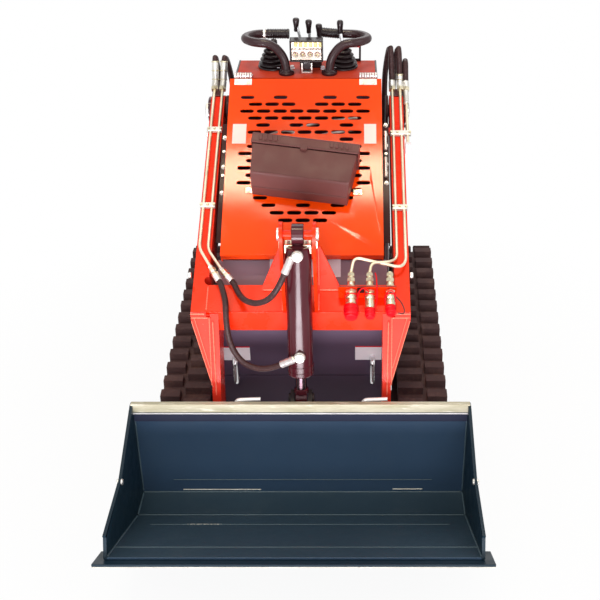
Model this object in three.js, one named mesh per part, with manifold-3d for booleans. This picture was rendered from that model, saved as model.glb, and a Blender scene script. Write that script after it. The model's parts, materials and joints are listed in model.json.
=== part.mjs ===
// Stand-on mini loader on rubber tracks, with a curled bucket on twin lift arms.
// Millimetres, +Z up. The front faces -Y, the operator stands behind at +Y.
// The origin is on the ground, under the middle of the whole machine.

import * as THREE from 'three';
import { mergeVertices } from 'three/addons/utils/BufferGeometryUtils.js';
import Module from 'manifold-3d';

const wasm = await Module();
wasm.setup();

// ---------------------------------------------------------------- driving dimensions

const GAP = 0.4;                       // between pieces that touch

// Side-view points are [y, z].
const ARM_PIVOT = [405, 975];
const LEDGE = [-358, 647];             // the bend at the front of the cross-member
const ARM_SLOPE = THREE.MathUtils.degToRad(26.8);
const ARM_DEPTH = 105;
const ARM_IN = 281;                    // inner face of a lift arm, from the middle plane
const ARM_OUT = 327;
const LEG_IN = 245;
const LEG_OUT = 271;
const BUCKET_PIN = [-435, 185];
const TILT_TOP_PIN = [-365, 915];
const TILT_ROD_PIN = [-452, 395];

const BUCKET_TIP = [-1000, 283];
const BUCKET_HEEL = [-647, 91];
const BUCKET_FOLD = [-539, 90];
const BUCKET_RIM = [-503.1, 423];
const BUCKET_HALF = 505;
const EDGE_HALF = 530;
const BUCKET_WALL = 7;

const LIFT_BASE_PIN = [-170, 360];
const LIFT_ROD_PIN = [280, 950];
const LIFT_X = 254;                    // middle of a lift cylinder

const TRACK_IN = 300;
const TRACK_OUT = 455;
const CARCASS = 14;
const LUG = 24;
const LUG_COUNT = 34;
const SPROCKET = { y: 440, z: 246, r: 112 };
const IDLER = { y: -320, z: 195, r: 92 };
const ROLLER_R = 50;
const ROLLER_Z = CARCASS + LUG + ROLLER_R;
const ROLLERS_Y = [-210, -106, -2, 102, 206, 310];

const HOOD_LOW = [-200, 750];
const HOOD_SLOPE = THREE.MathUtils.degToRad(34.9);
const HOOD_LONG = 642;
const HOOD_HALF = 250;
const HOOD_SHEET = 4;
const HOOD_SKIRT = 45;
const HOOD_HINGE = [332, 1127];

const CONSOLE_HALF = 237;
const CONSOLE_TOP = 1116;
const CONSOLE_FRONT = 342;
const WALL_IN = 217;                   // chassis side walls
const WALL_OUT = 227;
const PANEL_Y = -250;                  // back face of the front panel
const PANEL_HALF = 262;
const DECK_REAR = 1000;

// ---------------------------------------------------------------- finishes

const paint = (color, roughness = 0.35, metalness = 0.1) =>
  new THREE.MeshStandardMaterial({ color, roughness, metalness });
const orange = paint(0xff4a10);
const bucketBlue = paint(0x24343b, 0.4);
const plum = paint(0x3b3540, 0.45);
const black = paint(0x17120f, 0.3);
const rubber = paint(0x2b2523, 0.8, 0);
const steel = paint(0xb9b7ad, 0.35, 0.9);
const zinc = paint(0xd9d2b8, 0.3, 0.8);
const plastic = paint(0x554743, 0.35, 0);
const redPlastic = paint(0xe0182a, 0.4, 0);
const lampFace = paint(0xe8e2c0, 0.2, 0.2);

// ---------------------------------------------------------------- making solids

function solid(geometry) {
  const bare = new THREE.BufferGeometry();
  bare.setAttribute('position', geometry.getAttribute('position').clone());
  if (geometry.index) bare.setIndex(geometry.index.clone());
  const merged = mergeVertices(bare, 1e-3);
  const all = merged.index.array;
  const kept = [];
  for (let i = 0; i < all.length; i += 3) {
    const [a, b, c] = [all[i], all[i + 1], all[i + 2]];
    if (a !== b && b !== c && c !== a) kept.push(a, b, c);
  }
  const vertices = new Float32Array(merged.getAttribute('position').array);
  const corner = (i) => new THREE.Vector3().fromArray(vertices, 3 * i);
  let volume = 0;
  for (let i = 0; i < kept.length; i += 3) {
    volume += corner(kept[i]).dot(corner(kept[i + 1]).cross(corner(kept[i + 2])));
  }
  if (volume < 0) kept.reverse();
  const mesh = new wasm.Mesh({
    numProp: 3,
    vertProperties: vertices,
    triVerts: new Uint32Array(kept),
  });
  return new wasm.Manifold(mesh);
}

const join = (first, ...others) => others.reduce((whole, next) => whole.add(next), first);
const cut = (first, ...others) => others.reduce((whole, next) => whole.subtract(next), first);

// A flat plate with its outline in side view, from x0 to x1.
function slab(outline, x0, x1, holes = []) {
  const shape = new THREE.Shape(outline.map(([y, z]) => new THREE.Vector2(y, z)));
  for (const hole of holes) {
    shape.holes.push(new THREE.Path(hole.map(([y, z]) => new THREE.Vector2(y, z))));
  }
  const low = Math.min(x0, x1);
  const plate = new THREE.ExtrudeGeometry(shape, {
    depth: Math.abs(x1 - x0), bevelEnabled: false, curveSegments: 8,
  });
  const turn = new THREE.Matrix4().makeBasis(
    new THREE.Vector3(0, 1, 0), new THREE.Vector3(0, 0, 1), new THREE.Vector3(1, 0, 0),
  );
  plate.applyMatrix4(turn).translate(low, 0, 0);
  return solid(plate);
}

function block(x0, x1, y0, y1, z0, z1) {
  const box = new THREE.BoxGeometry(Math.abs(x1 - x0), y1 - y0, z1 - z0);
  box.translate((x0 + x1) / 2, (y0 + y1) / 2, (z0 + z1) / 2);
  return solid(box);
}

// A round bar between two points.
function bar(from, to, radius, sides = 16, endRadius = radius) {
  const a = new THREE.Vector3(...from);
  const b = new THREE.Vector3(...to);
  const along = b.clone().sub(a);
  const round = new THREE.CylinderGeometry(endRadius, radius, along.length(), sides);
  const turn = new THREE.Quaternion().setFromUnitVectors(
    new THREE.Vector3(0, 1, 0), along.clone().normalize(),
  );
  round.applyQuaternion(turn);
  const middle = a.add(b).multiplyScalar(0.5);
  return solid(round.translate(middle.x, middle.y, middle.z));
}

const pinX = ([y, z], radius, x0, x1, sides = 14) => bar([x0, y, z], [x1, y, z], radius, sides);

// A route that passes through its points in even steps of the parameter.
class Route extends THREE.Curve {
  constructor(points) {
    super();
    this.stops = points.map((p) => new THREE.Vector3(...p));
  }

  getPoint(t) {
    const last = this.stops.length - 1;
    const along = Math.min(Math.max(t, 0), 1) * last;
    const i = Math.min(Math.floor(along), last - 1);
    return this.stops[i].clone().lerp(this.stops[i + 1], along - i);
  }

  getTangent(t) {
    const last = this.stops.length - 1;
    const i = Math.round(Math.min(Math.max(t, 0), 1) * last);
    const before = this.stops[i].clone().sub(this.stops[Math.max(i - 1, 0)]).normalize();
    const after = this.stops[Math.min(i + 1, last)].clone().sub(this.stops[i]).normalize();
    return before.add(after).normalize();
  }

  getUtoTmapping(u) {
    return u;
  }
}

// A tube whose section is a regular polygon, bent at each point of its route.
function tubeThrough(points, radius, sides = 8) {
  const ring = new THREE.Shape(Array.from({ length: sides }, (_, i) => {
    const angle = (2 * Math.PI * i) / sides;
    return new THREE.Vector2(radius * Math.cos(angle), radius * Math.sin(angle));
  }));
  const extrudePath = new Route(points);
  const steps = points.length - 1;
  return solid(new THREE.ExtrudeGeometry(ring, { extrudePath, steps, bevelEnabled: false }));
}

// Points of a polyline with each corner rounded off by short chords.
function rounded(points, radius, chords = 4) {
  const at = points.map((p) => new THREE.Vector3(...p));
  const out = [at[0]];
  for (let i = 1; i < at.length - 1; i++) {
    const back = at[i - 1].clone().sub(at[i]);
    const on = at[i + 1].clone().sub(at[i]);
    const reach = Math.min(radius, back.length() / 2.2, on.length() / 2.2);
    const start = at[i].clone().add(back.setLength(reach));
    const end = at[i].clone().add(on.setLength(reach));
    const bend = new THREE.QuadraticBezierCurve3(start, at[i], end);
    out.push(...bend.getPoints(chords));
  }
  out.push(at[at.length - 1]);
  return out.map((v) => v.toArray());
}

// A bent steel line: straight runs with rounded corners.
const bentTube = (points, radius, cornerRadius, sides = 6, chords = 2) =>
  tubeThrough(rounded(points, cornerRadius, chords), radius, sides);

// A hose: a short straight lead out of its fitting, then a smooth curve through the other points.
function hose([start, ...others], radius, steps = 14, sides = 8) {
  const stops = others.map((p) => new THREE.Vector3(...p));
  const curve = new THREE.CatmullRomCurve3(stops, false, 'centripetal');
  return tubeThrough([start, ...curve.getSpacedPoints(steps).map((v) => v.toArray())], radius, sides);
}

function lathe(profile, segments, matrix) {
  const turned = new THREE.LatheGeometry(profile.map(([r, h]) => new THREE.Vector2(r, h)), segments);
  turned.rotateX(Math.PI / 2);
  if (matrix) turned.applyMatrix4(matrix);
  return solid(turned);
}

const disc = ([y, z], radius, points = 20, start = 0) => Array.from({ length: points }, (_, i) => {
  const angle = start + (2 * Math.PI * i) / points;
  return [y + radius * Math.cos(angle), z + radius * Math.sin(angle)];
});

const arc = ([y, z], radius, fromDeg, toDeg, chords = 6) =>
  Array.from({ length: chords + 1 }, (_, i) => {
    const angle = THREE.MathUtils.degToRad(fromDeg + ((toDeg - fromDeg) * i) / chords);
    return [y + radius * Math.cos(angle), z + radius * Math.sin(angle)];
  });

// ---------------------------------------------------------------- the scene graph

const machine = new THREE.Group();
machine.name = 'mini_loader';

function piece(name, body, material) {
  const { vertProperties, triVerts, numProp } = body.getMesh();
  const geometry = new THREE.BufferGeometry();
  const positions = new Float32Array((vertProperties.length / numProp) * 3);
  for (let i = 0; i < positions.length / 3; i++) {
    for (let k = 0; k < 3; k++) positions[3 * i + k] = vertProperties[numProp * i + k];
  }
  geometry.setAttribute('position', new THREE.BufferAttribute(positions, 3));
  geometry.setIndex(new THREE.BufferAttribute(new Uint32Array(triVerts), 1));
  geometry.computeVertexNormals();
  const mesh = new THREE.Mesh(geometry, material);
  mesh.name = name;
  machine.add(mesh);
}

const SIDES = [['l', -1], ['r', 1]];   // the sides as they show from the front

const armTop = (y) => LEDGE[1] + Math.tan(ARM_SLOPE) * (y - LEDGE[0]);

// ---------------------------------------------------------------- tracks

// The loop runs round these wheels, from the sprocket over the top to the front.
const LOOP = [
  SPROCKET,
  IDLER,
  { y: ROLLERS_Y[0], z: ROLLER_Z, r: ROLLER_R },
  { y: ROLLERS_Y[ROLLERS_Y.length - 1], z: ROLLER_Z, r: ROLLER_R },
];

function loopSections() {
  const normals = LOOP.map((wheel, i) => {
    const next = LOOP[(i + 1) % LOOP.length];
    const dy = next.y - wheel.y;
    const dz = next.z - wheel.z;
    const span = Math.hypot(dy, dz);
    const lean = Math.asin((wheel.r - next.r) / span);
    return Math.atan2(dz, dy) - Math.PI / 2 + lean;
  });
  return LOOP.map((wheel, i) => {
    const start = normals[(i + LOOP.length - 1) % LOOP.length];
    let end = normals[i];
    while (end < start) end += 2 * Math.PI;
    return { wheel, next: LOOP[(i + 1) % LOOP.length], start, end, normal: end };
  });
}

const TRACK_SECTIONS = loopSections();

// Where the loop's inner line is after a distance, and which way is outward there.
function loopAt(distance) {
  let left = distance;
  for (const { wheel, next, start, end, normal } of TRACK_SECTIONS) {
    const turn = (end - start) * wheel.r;
    if (left <= turn) {
      const angle = start + left / wheel.r;
      return { y: wheel.y + wheel.r * Math.cos(angle), z: wheel.z + wheel.r * Math.sin(angle), angle };
    }
    left -= turn;
    const from = [wheel.y + wheel.r * Math.cos(normal), wheel.z + wheel.r * Math.sin(normal)];
    const to = [next.y + next.r * Math.cos(normal), next.z + next.r * Math.sin(normal)];
    const run = Math.hypot(to[0] - from[0], to[1] - from[1]);
    if (left <= run) {
      const part = left / run;
      const y = from[0] + part * (to[0] - from[0]);
      const z = from[1] + part * (to[1] - from[1]);
      return { y, z, angle: normal };
    }
    left -= run;
  }
  return loopAt(0);
}

function loopLength() {
  let total = 0;
  for (const { wheel, next, start, end, normal } of TRACK_SECTIONS) {
    total += (end - start) * wheel.r;
    const dy = next.y + next.r * Math.cos(normal) - wheel.y - wheel.r * Math.cos(normal);
    const dz = next.z + next.r * Math.sin(normal) - wheel.z - wheel.r * Math.sin(normal);
    total += Math.hypot(dy, dz);
  }
  return total;
}

const TRACK_LENGTH = loopLength();
const LUG_PITCH = TRACK_LENGTH / LUG_COUNT;

function offsetPoint(distance, out) {
  const { y, z, angle } = loopAt((distance + TRACK_LENGTH) % TRACK_LENGTH);
  return [y + out * Math.cos(angle), z + out * Math.sin(angle)];
}

// Round stretches get a point every few degrees, straight ones only their ends.
function plainLoop(out) {
  const points = [];
  for (const { wheel, start, end } of TRACK_SECTIONS) {
    const steps = Math.max(2, Math.round((end - start) / 0.24));
    for (let i = 0; i <= steps; i++) {
      const angle = start + ((end - start) * i) / steps;
      const reach = wheel.r + out;
      points.push([wheel.y + reach * Math.cos(angle), wheel.z + reach * Math.sin(angle)]);
    }
  }
  return points;
}

// Lugs stand in two columns, half a pitch apart, with a groove between them.
const LUG_FOOT = [0, 0.1, 0.5, 0.6];
const LUG_HEAD = [0.08, 0.5];
const TREAD_GROOVE = [380, 392];

function beltLoop() {
  const points = [];
  for (let i = 0; i < LUG_COUNT; i++) {
    for (const part of LUG_FOOT) points.push(offsetPoint((i + part) * LUG_PITCH, CARCASS));
  }
  return points;
}

function luggedLoop(shift) {
  const points = [];
  for (let i = 0; i < LUG_COUNT; i++) {
    const from = (i + shift) * LUG_PITCH;
    points.push(offsetPoint(from, CARCASS));
    for (const part of LUG_HEAD) points.push(offsetPoint(from + part * LUG_PITCH, CARCASS + LUG));
    points.push(offsetPoint(from + 0.6 * LUG_PITCH, CARCASS));
  }
  return points;
}

for (const [side, s] of SIDES) {
  const inner = plainLoop(0).reverse();
  const groove = slab(beltLoop(), s * TREAD_GROOVE[0], s * TREAD_GROOVE[1], [inner]);
  const outerLugs = slab(luggedLoop(0), s * TREAD_GROOVE[1], s * TRACK_OUT, [inner]);
  const innerLugs = slab(luggedLoop(0.5), s * TRACK_IN, s * TREAD_GROOVE[0], [inner]);
  piece(`track_${side}`, join(groove, outerLugs, innerLugs), rubber);
}

// ---------------------------------------------------------------- undercarriage

const FRAME_X = [345, 410];
const ROLLER_X = [328, 427];

function sprocketOutline() {
  const teeth = 13;
  const points = [];
  for (let i = 0; i < teeth; i++) {
    for (const [part, r] of [[0, 98], [0.2, SPROCKET.r - 2], [0.5, SPROCKET.r - 2], [0.7, 98]]) {
      const angle = (2 * Math.PI * (i + part)) / teeth;
      points.push([SPROCKET.y + r * Math.cos(angle), SPROCKET.z + r * Math.sin(angle)]);
    }
  }
  return points;
}

for (const [side, s] of SIDES) {
  const beam = slab(
    [[-270, 110], [-270, 165], [-235, 178], [330, 178], [400, 262], [480, 262], [480, 225], [372, 110]],
    s * FRAME_X[0], s * FRAME_X[1],
  );
  const yoke = slab(
    [[-345, 178], [-345, 212], [-225, 178], [-225, 120]], s * (FRAME_X[0] + 12), s * (FRAME_X[1] - 12),
  );
  const idlerRim = slab(disc([IDLER.y, IDLER.z], IDLER.r - 2, 22), s * 338, s * 417);
  const sprocket = slab(sprocketOutline(), s * 366, s * 389);
  const motor = pinX([SPROCKET.y, SPROCKET.z], 66, s * 304, s * 424, 16);
  const rollers = ROLLERS_Y.map(
    (y) => pinX([y, ROLLER_Z], ROLLER_R - 1.5, s * ROLLER_X[0], s * ROLLER_X[1], 12),
  );
  const carrier = pinX([60, 297], 22, s * 340, s * 415, 12);
  const carrierPost = block(s * 366, s * 389, 48, 72, 170, 297);
  piece(
    `undercarriage_${side}`,
    join(beam, yoke, idlerRim, sprocket, motor, carrier, carrierPost, ...rollers),
    black,
  );
}

// ---------------------------------------------------------------- chassis

const HOOD_RISE = Math.tan(HOOD_SLOPE);
const hoodLine = (y, below) => HOOD_LOW[1] + HOOD_RISE * (y - HOOD_LOW[0]) - below / Math.cos(HOOD_SLOPE);

{
  const wallOutline = [
    [PANEL_Y, 120], [PANEL_Y, 585], [-168, 696], [322 - GAP, hoodLine(322, 62)], [322 - GAP, 120],
  ];
  const walls = [-1, 1].map((s) => slab(wallOutline, s * WALL_IN, s * WALL_OUT));
  const floor = block(-WALL_OUT, WALL_OUT, PANEL_Y, 322 - GAP, 120, 130);
  const cross = [[-190, 60], [250, 60]].map(([y, wide]) => join(
    block(WALL_OUT - 5, FRAME_X[0] - GAP, y, y + wide, 140, 172),
    block(-FRAME_X[0] + GAP, -WALL_OUT + 5, y, y + wide, 140, 172),
  ));
  const engineRails = block(-WALL_IN - 5, WALL_IN + 5, -150, -110, 130, 190);
  const engineRear = block(-WALL_IN - 5, WALL_IN + 5, 230, 270, 130, 190);
  const liftPins = [-1, 1].map((s) => join(
    pinX(LIFT_BASE_PIN, 12, s * (WALL_OUT - 4), s * 285),
    pinX(LIFT_BASE_PIN, 20, s * 278, s * 285),
    pinX(LIFT_BASE_PIN, 34, s * (WALL_OUT - 4), s * (WALL_OUT + 5)),
  ));
  const frame = join(walls[0], walls[1], floor, ...cross, engineRails, engineRear, ...liftPins);
  piece('chassis_frame', frame, plum);
}

// The front panel stands upright; the nose panel leans back above it to the hood's lip.
const NOSE_FOOT = [PANEL_Y - 6, 592];
const NOSE_TOP = [-166, 713];
{
  const panel = block(-PANEL_HALF, PANEL_HALF, PANEL_Y - 6, PANEL_Y - GAP, 122, 590);
  const handles = [-1, 1].map((s) => bentTube(
    [[PANEL_Y - 4, 322], [PANEL_Y - 34, 322], [PANEL_Y - 34, 408], [PANEL_Y - 4, 408]]
      .map(([y, z]) => [s * 218, y, z]),
    8, 14, 8, 2,
  ));
  piece('front_panel', join(panel, ...handles), plum);
  piece('nose_panel', slab(
    [NOSE_FOOT, NOSE_TOP, [NOSE_TOP[0] + 5, NOSE_TOP[1] - 3.6], [NOSE_FOOT[0] + 6, NOSE_FOOT[1] - 1]],
    -PANEL_HALF, PANEL_HALF,
  ), zinc);
}

piece('engine_block', block(-190, 190, -145, 265, 190 + GAP, 610), black);

// The rear housing carries the console; it opens forward into the engine bay.
{
  const outer = [
    [322, 120], [322, 1010], [CONSOLE_FRONT, 1050], [CONSOLE_FRONT, CONSOLE_TOP - 8], [500, CONSOLE_TOP - 8],
    [556, 960], [556, 120],
  ];
  const inside = [
    [300, 130], [300, 1004], [351, 1045], [351, CONSOLE_TOP - 14], [496, CONSOLE_TOP - 14],
    [550, 957], [550, 130],
  ];
  const shell = slab(outer, -CONSOLE_HALF, CONSOLE_HALF);
  const hollow = slab(inside, -CONSOLE_HALF + 6, CONSOLE_HALF - 6);
  piece('rear_housing', cut(shell, hollow), plum);
}

{
  const top = block(-CONSOLE_HALF, CONSOLE_HALF, CONSOLE_FRONT - 4, 512, CONSOLE_TOP - 8 + GAP, CONSOLE_TOP);
  const hinges = [-1, 1].map((s) => join(
    block(s * 177, s * 235, 330, 366, CONSOLE_TOP - 2, CONSOLE_TOP + 3),
    pinX(HOOD_HINGE, 6, s * 177, s * 235, 12),
    block(s * 177, s * 235, 328, 337, CONSOLE_TOP + 1, HOOD_HINGE[1]),
  ));
  piece('console', join(top, ...hinges), orange);
}

// Pivot towers: a block on the chassis side, a tongue up to the pivot, and the pin.
for (const [side, s] of SIDES) {
  const root = slab(
    [[330, 420], [330, 860], [400, 895], [470, 895], [520, 800], [520, 420]],
    s * (CONSOLE_HALF + 1), s * 277,
  );
  const tongue = slab(
    [[340, 800], ...arc(ARM_PIVOT, 52, 200, -20, 8), [505, 800]], s * 268, s * 277,
  );
  const tie = block(s * (WALL_OUT + GAP), s * 240, 270, 318, 420, 480);
  const tieLeg = block(s * 239, s * 277, 285, 335, 425, 475);
  const pin = pinX(ARM_PIVOT, 20, s * 272, s * 345, 20);
  const washer = pinX(ARM_PIVOT, 46, s * (ARM_OUT + 2), s * (ARM_OUT + 10), 24);
  const nut = pinX(ARM_PIVOT, 24, s * (ARM_OUT + 8), s * 349, 6);
  const bulkhead = block(s * 240, s * 352, 512, 556, 846, 862);
  const gusset = block(s * 240, s * 248, 512, 556, 790, 850);
  piece(`pivot_tower_${side}`, join(root, tongue, tie, tieLeg, pin, washer, nut, bulkhead, gusset), plum);
}

// Operator's deck behind the tracks.
{
  const deck = block(-235, 235, 560, DECK_REAR, 226, 236);
  const cheeks = [-1, 1].map((s) => slab(
    [[556 + GAP, 150], [556 + GAP, 300], [640, 250], [DECK_REAR, 250], [DECK_REAR, 205], [700, 190]],
    s * 235, s * 227,
  ));
  const kick = block(-235, 235, 556 + GAP, 564, 150, 300);
  piece('operator_deck', join(deck, ...cheeks, kick), plum);
}

// ---------------------------------------------------------------- console fittings

const ON_CONSOLE = CONSOLE_TOP + GAP;

const HANDLEBARS = {
  l: [
    [-66, 378, ON_CONSOLE], [-72, 384, 1170], [-112, 402, 1210], [-178, 408, 1213], [-214, 452, 1213],
    [-178, 505, 1211], [-120, 510, 1210], [-62, 510, 1210],
  ],
  r: [
    [77, 378, ON_CONSOLE], [83, 384, 1170], [120, 402, 1210], [178, 408, 1213], [214, 452, 1213],
    [178, 500, 1212], [105, 508, 1211], [44, 510, 1216],
  ],
};
for (const [side, route] of Object.entries(HANDLEBARS)) {
  const foot = bar([route[0][0], 378, ON_CONSOLE], [route[0][0], 378, ON_CONSOLE + 10], 26, 12);
  const lifted = route.map(([x, y, z], i) => [x, y, i === 0 ? z + 2 : z]);
  piece(`handlebar_${side}`, join(bentTube(lifted, 15, 40, 8, 3), foot), black);
}

// Drive levers, each in a rubber bellows whose rings shrink towards the top.
const BELLOWS = { rings: 4, tall: 84, wide: 44, narrow: 17 };
const DRIVE_LEVERS = {
  l: { at: [-118, 452], head: [-112, 470, 1204], knob: 12 },
  r: { at: [124, 452], head: [113, 472, 1268], knob: 11 },
};
for (const [side, { at: [x, y], head, knob }] of Object.entries(DRIVE_LEVERS)) {
  const profile = [[0, 0], [BELLOWS.wide + 5, 0], [BELLOWS.wide + 5, 5]];
  for (let i = 0; i < BELLOWS.rings; i++) {
    const width = (k) => BELLOWS.wide + ((BELLOWS.narrow - BELLOWS.wide) * k) / BELLOWS.rings;
    const height = (k) => 6 + ((BELLOWS.tall - 12) * k) / BELLOWS.rings;
    profile.push([width(i) - 5, height(i) + 1], [width(i + 0.4), height(i + 0.5)]);
  }
  profile.push([BELLOWS.narrow - 4, BELLOWS.tall - 4], [0, BELLOWS.tall - 4]);
  const lift = new THREE.Matrix4().makeTranslation(x, y, ON_CONSOLE);
  const boot = lathe(profile, 12, lift);
  const stem = bar([x, y, ON_CONSOLE + BELLOWS.tall - 20], [head[0], head[1], head[2] - 20], 6, 8);
  const top = bar([head[0], head[1], head[2] - 46], head, knob, 10, knob - 2);
  piece(`drive_lever_${side}`, join(boot, stem, top), rubber);
}

// Work lamp on its forked bracket.
{
  const fork = join(
    block(-17, 21, 378, 396, ON_CONSOLE, ON_CONSOLE + 6),
    block(-17, -11, 378, 396, ON_CONSOLE, ON_CONSOLE + 36),
    block(15, 21, 378, 396, ON_CONSOLE, ON_CONSOLE + 36),
  );
  const housing = block(-53, 57, 372, 414, ON_CONSOLE + 38, ON_CONSOLE + 116);
  const neck = block(-11 + GAP, 15 - GAP, 380, 394, ON_CONSOLE + 12, ON_CONSOLE + 40);
  const recess = block(-47, 51, 366, 378, ON_CONSOLE + 44, ON_CONSOLE + 110);
  piece('lamp_bracket', fork, steel);
  piece('work_lamp', join(cut(housing, recess), neck), black);
  const [low, high] = [ON_CONSOLE + 44 + GAP, ON_CONSOLE + 110 - GAP];
  piece('lamp_face', block(-47 + GAP, 51 - GAP, 373, 378 - GAP, low, high), lampFace);
}

// An open frame stands behind the right drive lever.
{
  const top = ON_CONSOLE + 60;
  const leverGuard = cut(
    block(106, 184, 504, 510, ON_CONSOLE, top),
    block(113, 177, 500, 514, ON_CONSOLE + 8, top - 9),
  );
  piece('lever_guard', leverGuard, black);
}

// Three auxiliary levers on a short quadrant behind the lamp.
{
  const quadrant = block(-24, 50, 432, 480, ON_CONSOLE, ON_CONSOLE + 60);
  const LEVERS = [[-12, -34, 1278], [12, 8, 1272], [36, 42, 1258]];
  const levers = LEVERS.map(([x, headX, top]) => join(
    bar([x, 456, ON_CONSOLE + 50], [headX, 462, top - 12], 7, 8),
    bar([headX, 462, top - 44], [headX - 2, 463, top], 11, 10),
  ));
  piece('aux_levers', join(quadrant, ...levers), black);
}

// ---------------------------------------------------------------- hood and toolbox

const hoodFrame = new THREE.Matrix4().makeBasis(
  new THREE.Vector3(1, 0, 0),
  new THREE.Vector3(0, Math.cos(HOOD_SLOPE), Math.sin(HOOD_SLOPE)),
  new THREE.Vector3(0, -Math.sin(HOOD_SLOPE), Math.cos(HOOD_SLOPE)),
).setPosition(0, HOOD_LOW[0], HOOD_LOW[1]);

// Vent slots, from the top row down: [distance up the hood, columns in half pitches].
const SLOT = { long: 46, tall: 14, half: 27 };
const SLOT_ROWS = [
  [570, [-7, -3, 3, 7]],
  [543.5, [-6, -4, -2, 2, 4, 6]],
  [517, [-7, -5, -3, -1, 1, 3, 5, 7]],
  [490.5, [-6, -4, -2, 0, 2, 4, 6]],
  [464, [-5, -1, 1, 5]],
  [437.5, [-6, -4, -2, 0, 2, 4, 6]],
  [411, [-5, 5]],
  [384.5, [-6, 6]],
  [358, [-7, 7]],
  [331.5, [-6, 6]],
  [305, [-7, 7]],
  [278.5, [-6, 6]],
  [252, [-7, 7]],
  [225.5, [-6, 6]],
  [199, [-5, 5]],
  [172.5, [-4, 0, 4]],
  [146, [-3, -1, 1, 3]],
  [119.5, [-2, 0, 2]],
];

function slotPath(x, u) {
  const reach = SLOT.long / 2 - SLOT.tall / 2;
  const path = new THREE.Path();
  const chords = 3;
  for (const end of [1, -1]) {
    for (let i = 0; i <= chords; i++) {
      const angle = -Math.PI / 2 + (Math.PI * i) / chords;
      const round = SLOT.tall / 2;
      const at = [x + end * (reach + round * Math.cos(angle)), u + end * round * Math.sin(angle)];
      if (end === 1 && i === 0) path.moveTo(...at);
      else path.lineTo(...at);
    }
  }
  return path;
}

{
  const sheet = new THREE.Shape();
  sheet.moveTo(-HOOD_HALF, 0);
  sheet.lineTo(HOOD_HALF, 0);
  sheet.lineTo(HOOD_HALF, HOOD_LONG);
  sheet.lineTo(-HOOD_HALF, HOOD_LONG);
  for (const [u, columns] of SLOT_ROWS) {
    for (const column of columns) sheet.holes.push(slotPath(column * SLOT.half, u));
  }
  const top = new THREE.ExtrudeGeometry(sheet, { depth: HOOD_SHEET, bevelEnabled: false });
  top.translate(0, 0, -HOOD_SHEET);
  const skirtOutline = [
    [0, 0], [0, -HOOD_SKIRT], [HOOD_LONG - 102, -HOOD_SKIRT], [HOOD_LONG - 42, -12],
    [HOOD_LONG, -12], [HOOD_LONG, 0],
  ];
  const onHood = (outline, x0, x1) => {
    const shape = new THREE.Shape(outline.map(([u, n]) => new THREE.Vector2(u, n)));
    const strip = new THREE.ExtrudeGeometry(shape, { depth: Math.abs(x1 - x0), bevelEnabled: false });
    const turn = new THREE.Matrix4().makeBasis(
      new THREE.Vector3(0, 1, 0), new THREE.Vector3(0, 0, 1), new THREE.Vector3(1, 0, 0),
    );
    return solid(strip.applyMatrix4(turn).translate(Math.min(x0, x1), 0, 0).applyMatrix4(hoodFrame));
  };
  const sides = [-1, 1].map((s) => onHood(skirtOutline, s * (HOOD_HALF - HOOD_SHEET), s * HOOD_HALF));
  const lip = onHood([[0, 0], [0, -30], [HOOD_SHEET, -30], [HOOD_SHEET, 0]], -HOOD_HALF, HOOD_HALF);
  piece('hood', join(solid(top.applyMatrix4(hoodFrame)), ...sides, lip), orange);
}

// The toolbox is strapped to the hood a few degrees off square.
const BOX_SKEW = THREE.MathUtils.degToRad(-7.8);
const BOX = { low: 189, high: 356, lid: 39, deep: 96, half: 168, lowHalf: 150 };
const boxFrame = hoodFrame.clone().multiply(
  new THREE.Matrix4().makeTranslation(0.5, (BOX.low + BOX.high) / 2, GAP)
    .multiply(new THREE.Matrix4().makeRotationZ(BOX_SKEW)),
);
const BOX_SPLIT = BOX.high - BOX.lid - (BOX.low + BOX.high) / 2;
const BOX_END = (BOX.high - BOX.low) / 2;

// A shape of [u, n] across the box, tapering from one half-width to another as u falls.
function boxSolid(outline, halfAt, matrix) {
  const shape = new THREE.Shape(outline.map(([u, n]) => new THREE.Vector2(u, n)));
  const body = new THREE.ExtrudeGeometry(shape, { depth: 2, bevelEnabled: false });
  const turn = new THREE.Matrix4().makeBasis(
    new THREE.Vector3(0, 1, 0), new THREE.Vector3(0, 0, 1), new THREE.Vector3(1, 0, 0),
  );
  body.translate(0, 0, -1).applyMatrix4(turn);
  const position = body.getAttribute('position');
  for (let i = 0; i < position.count; i++) {
    position.setX(i, Math.sign(position.getX(i)) * halfAt(position.getY(i)));
  }
  return solid(body.applyMatrix4(matrix));
}

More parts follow.
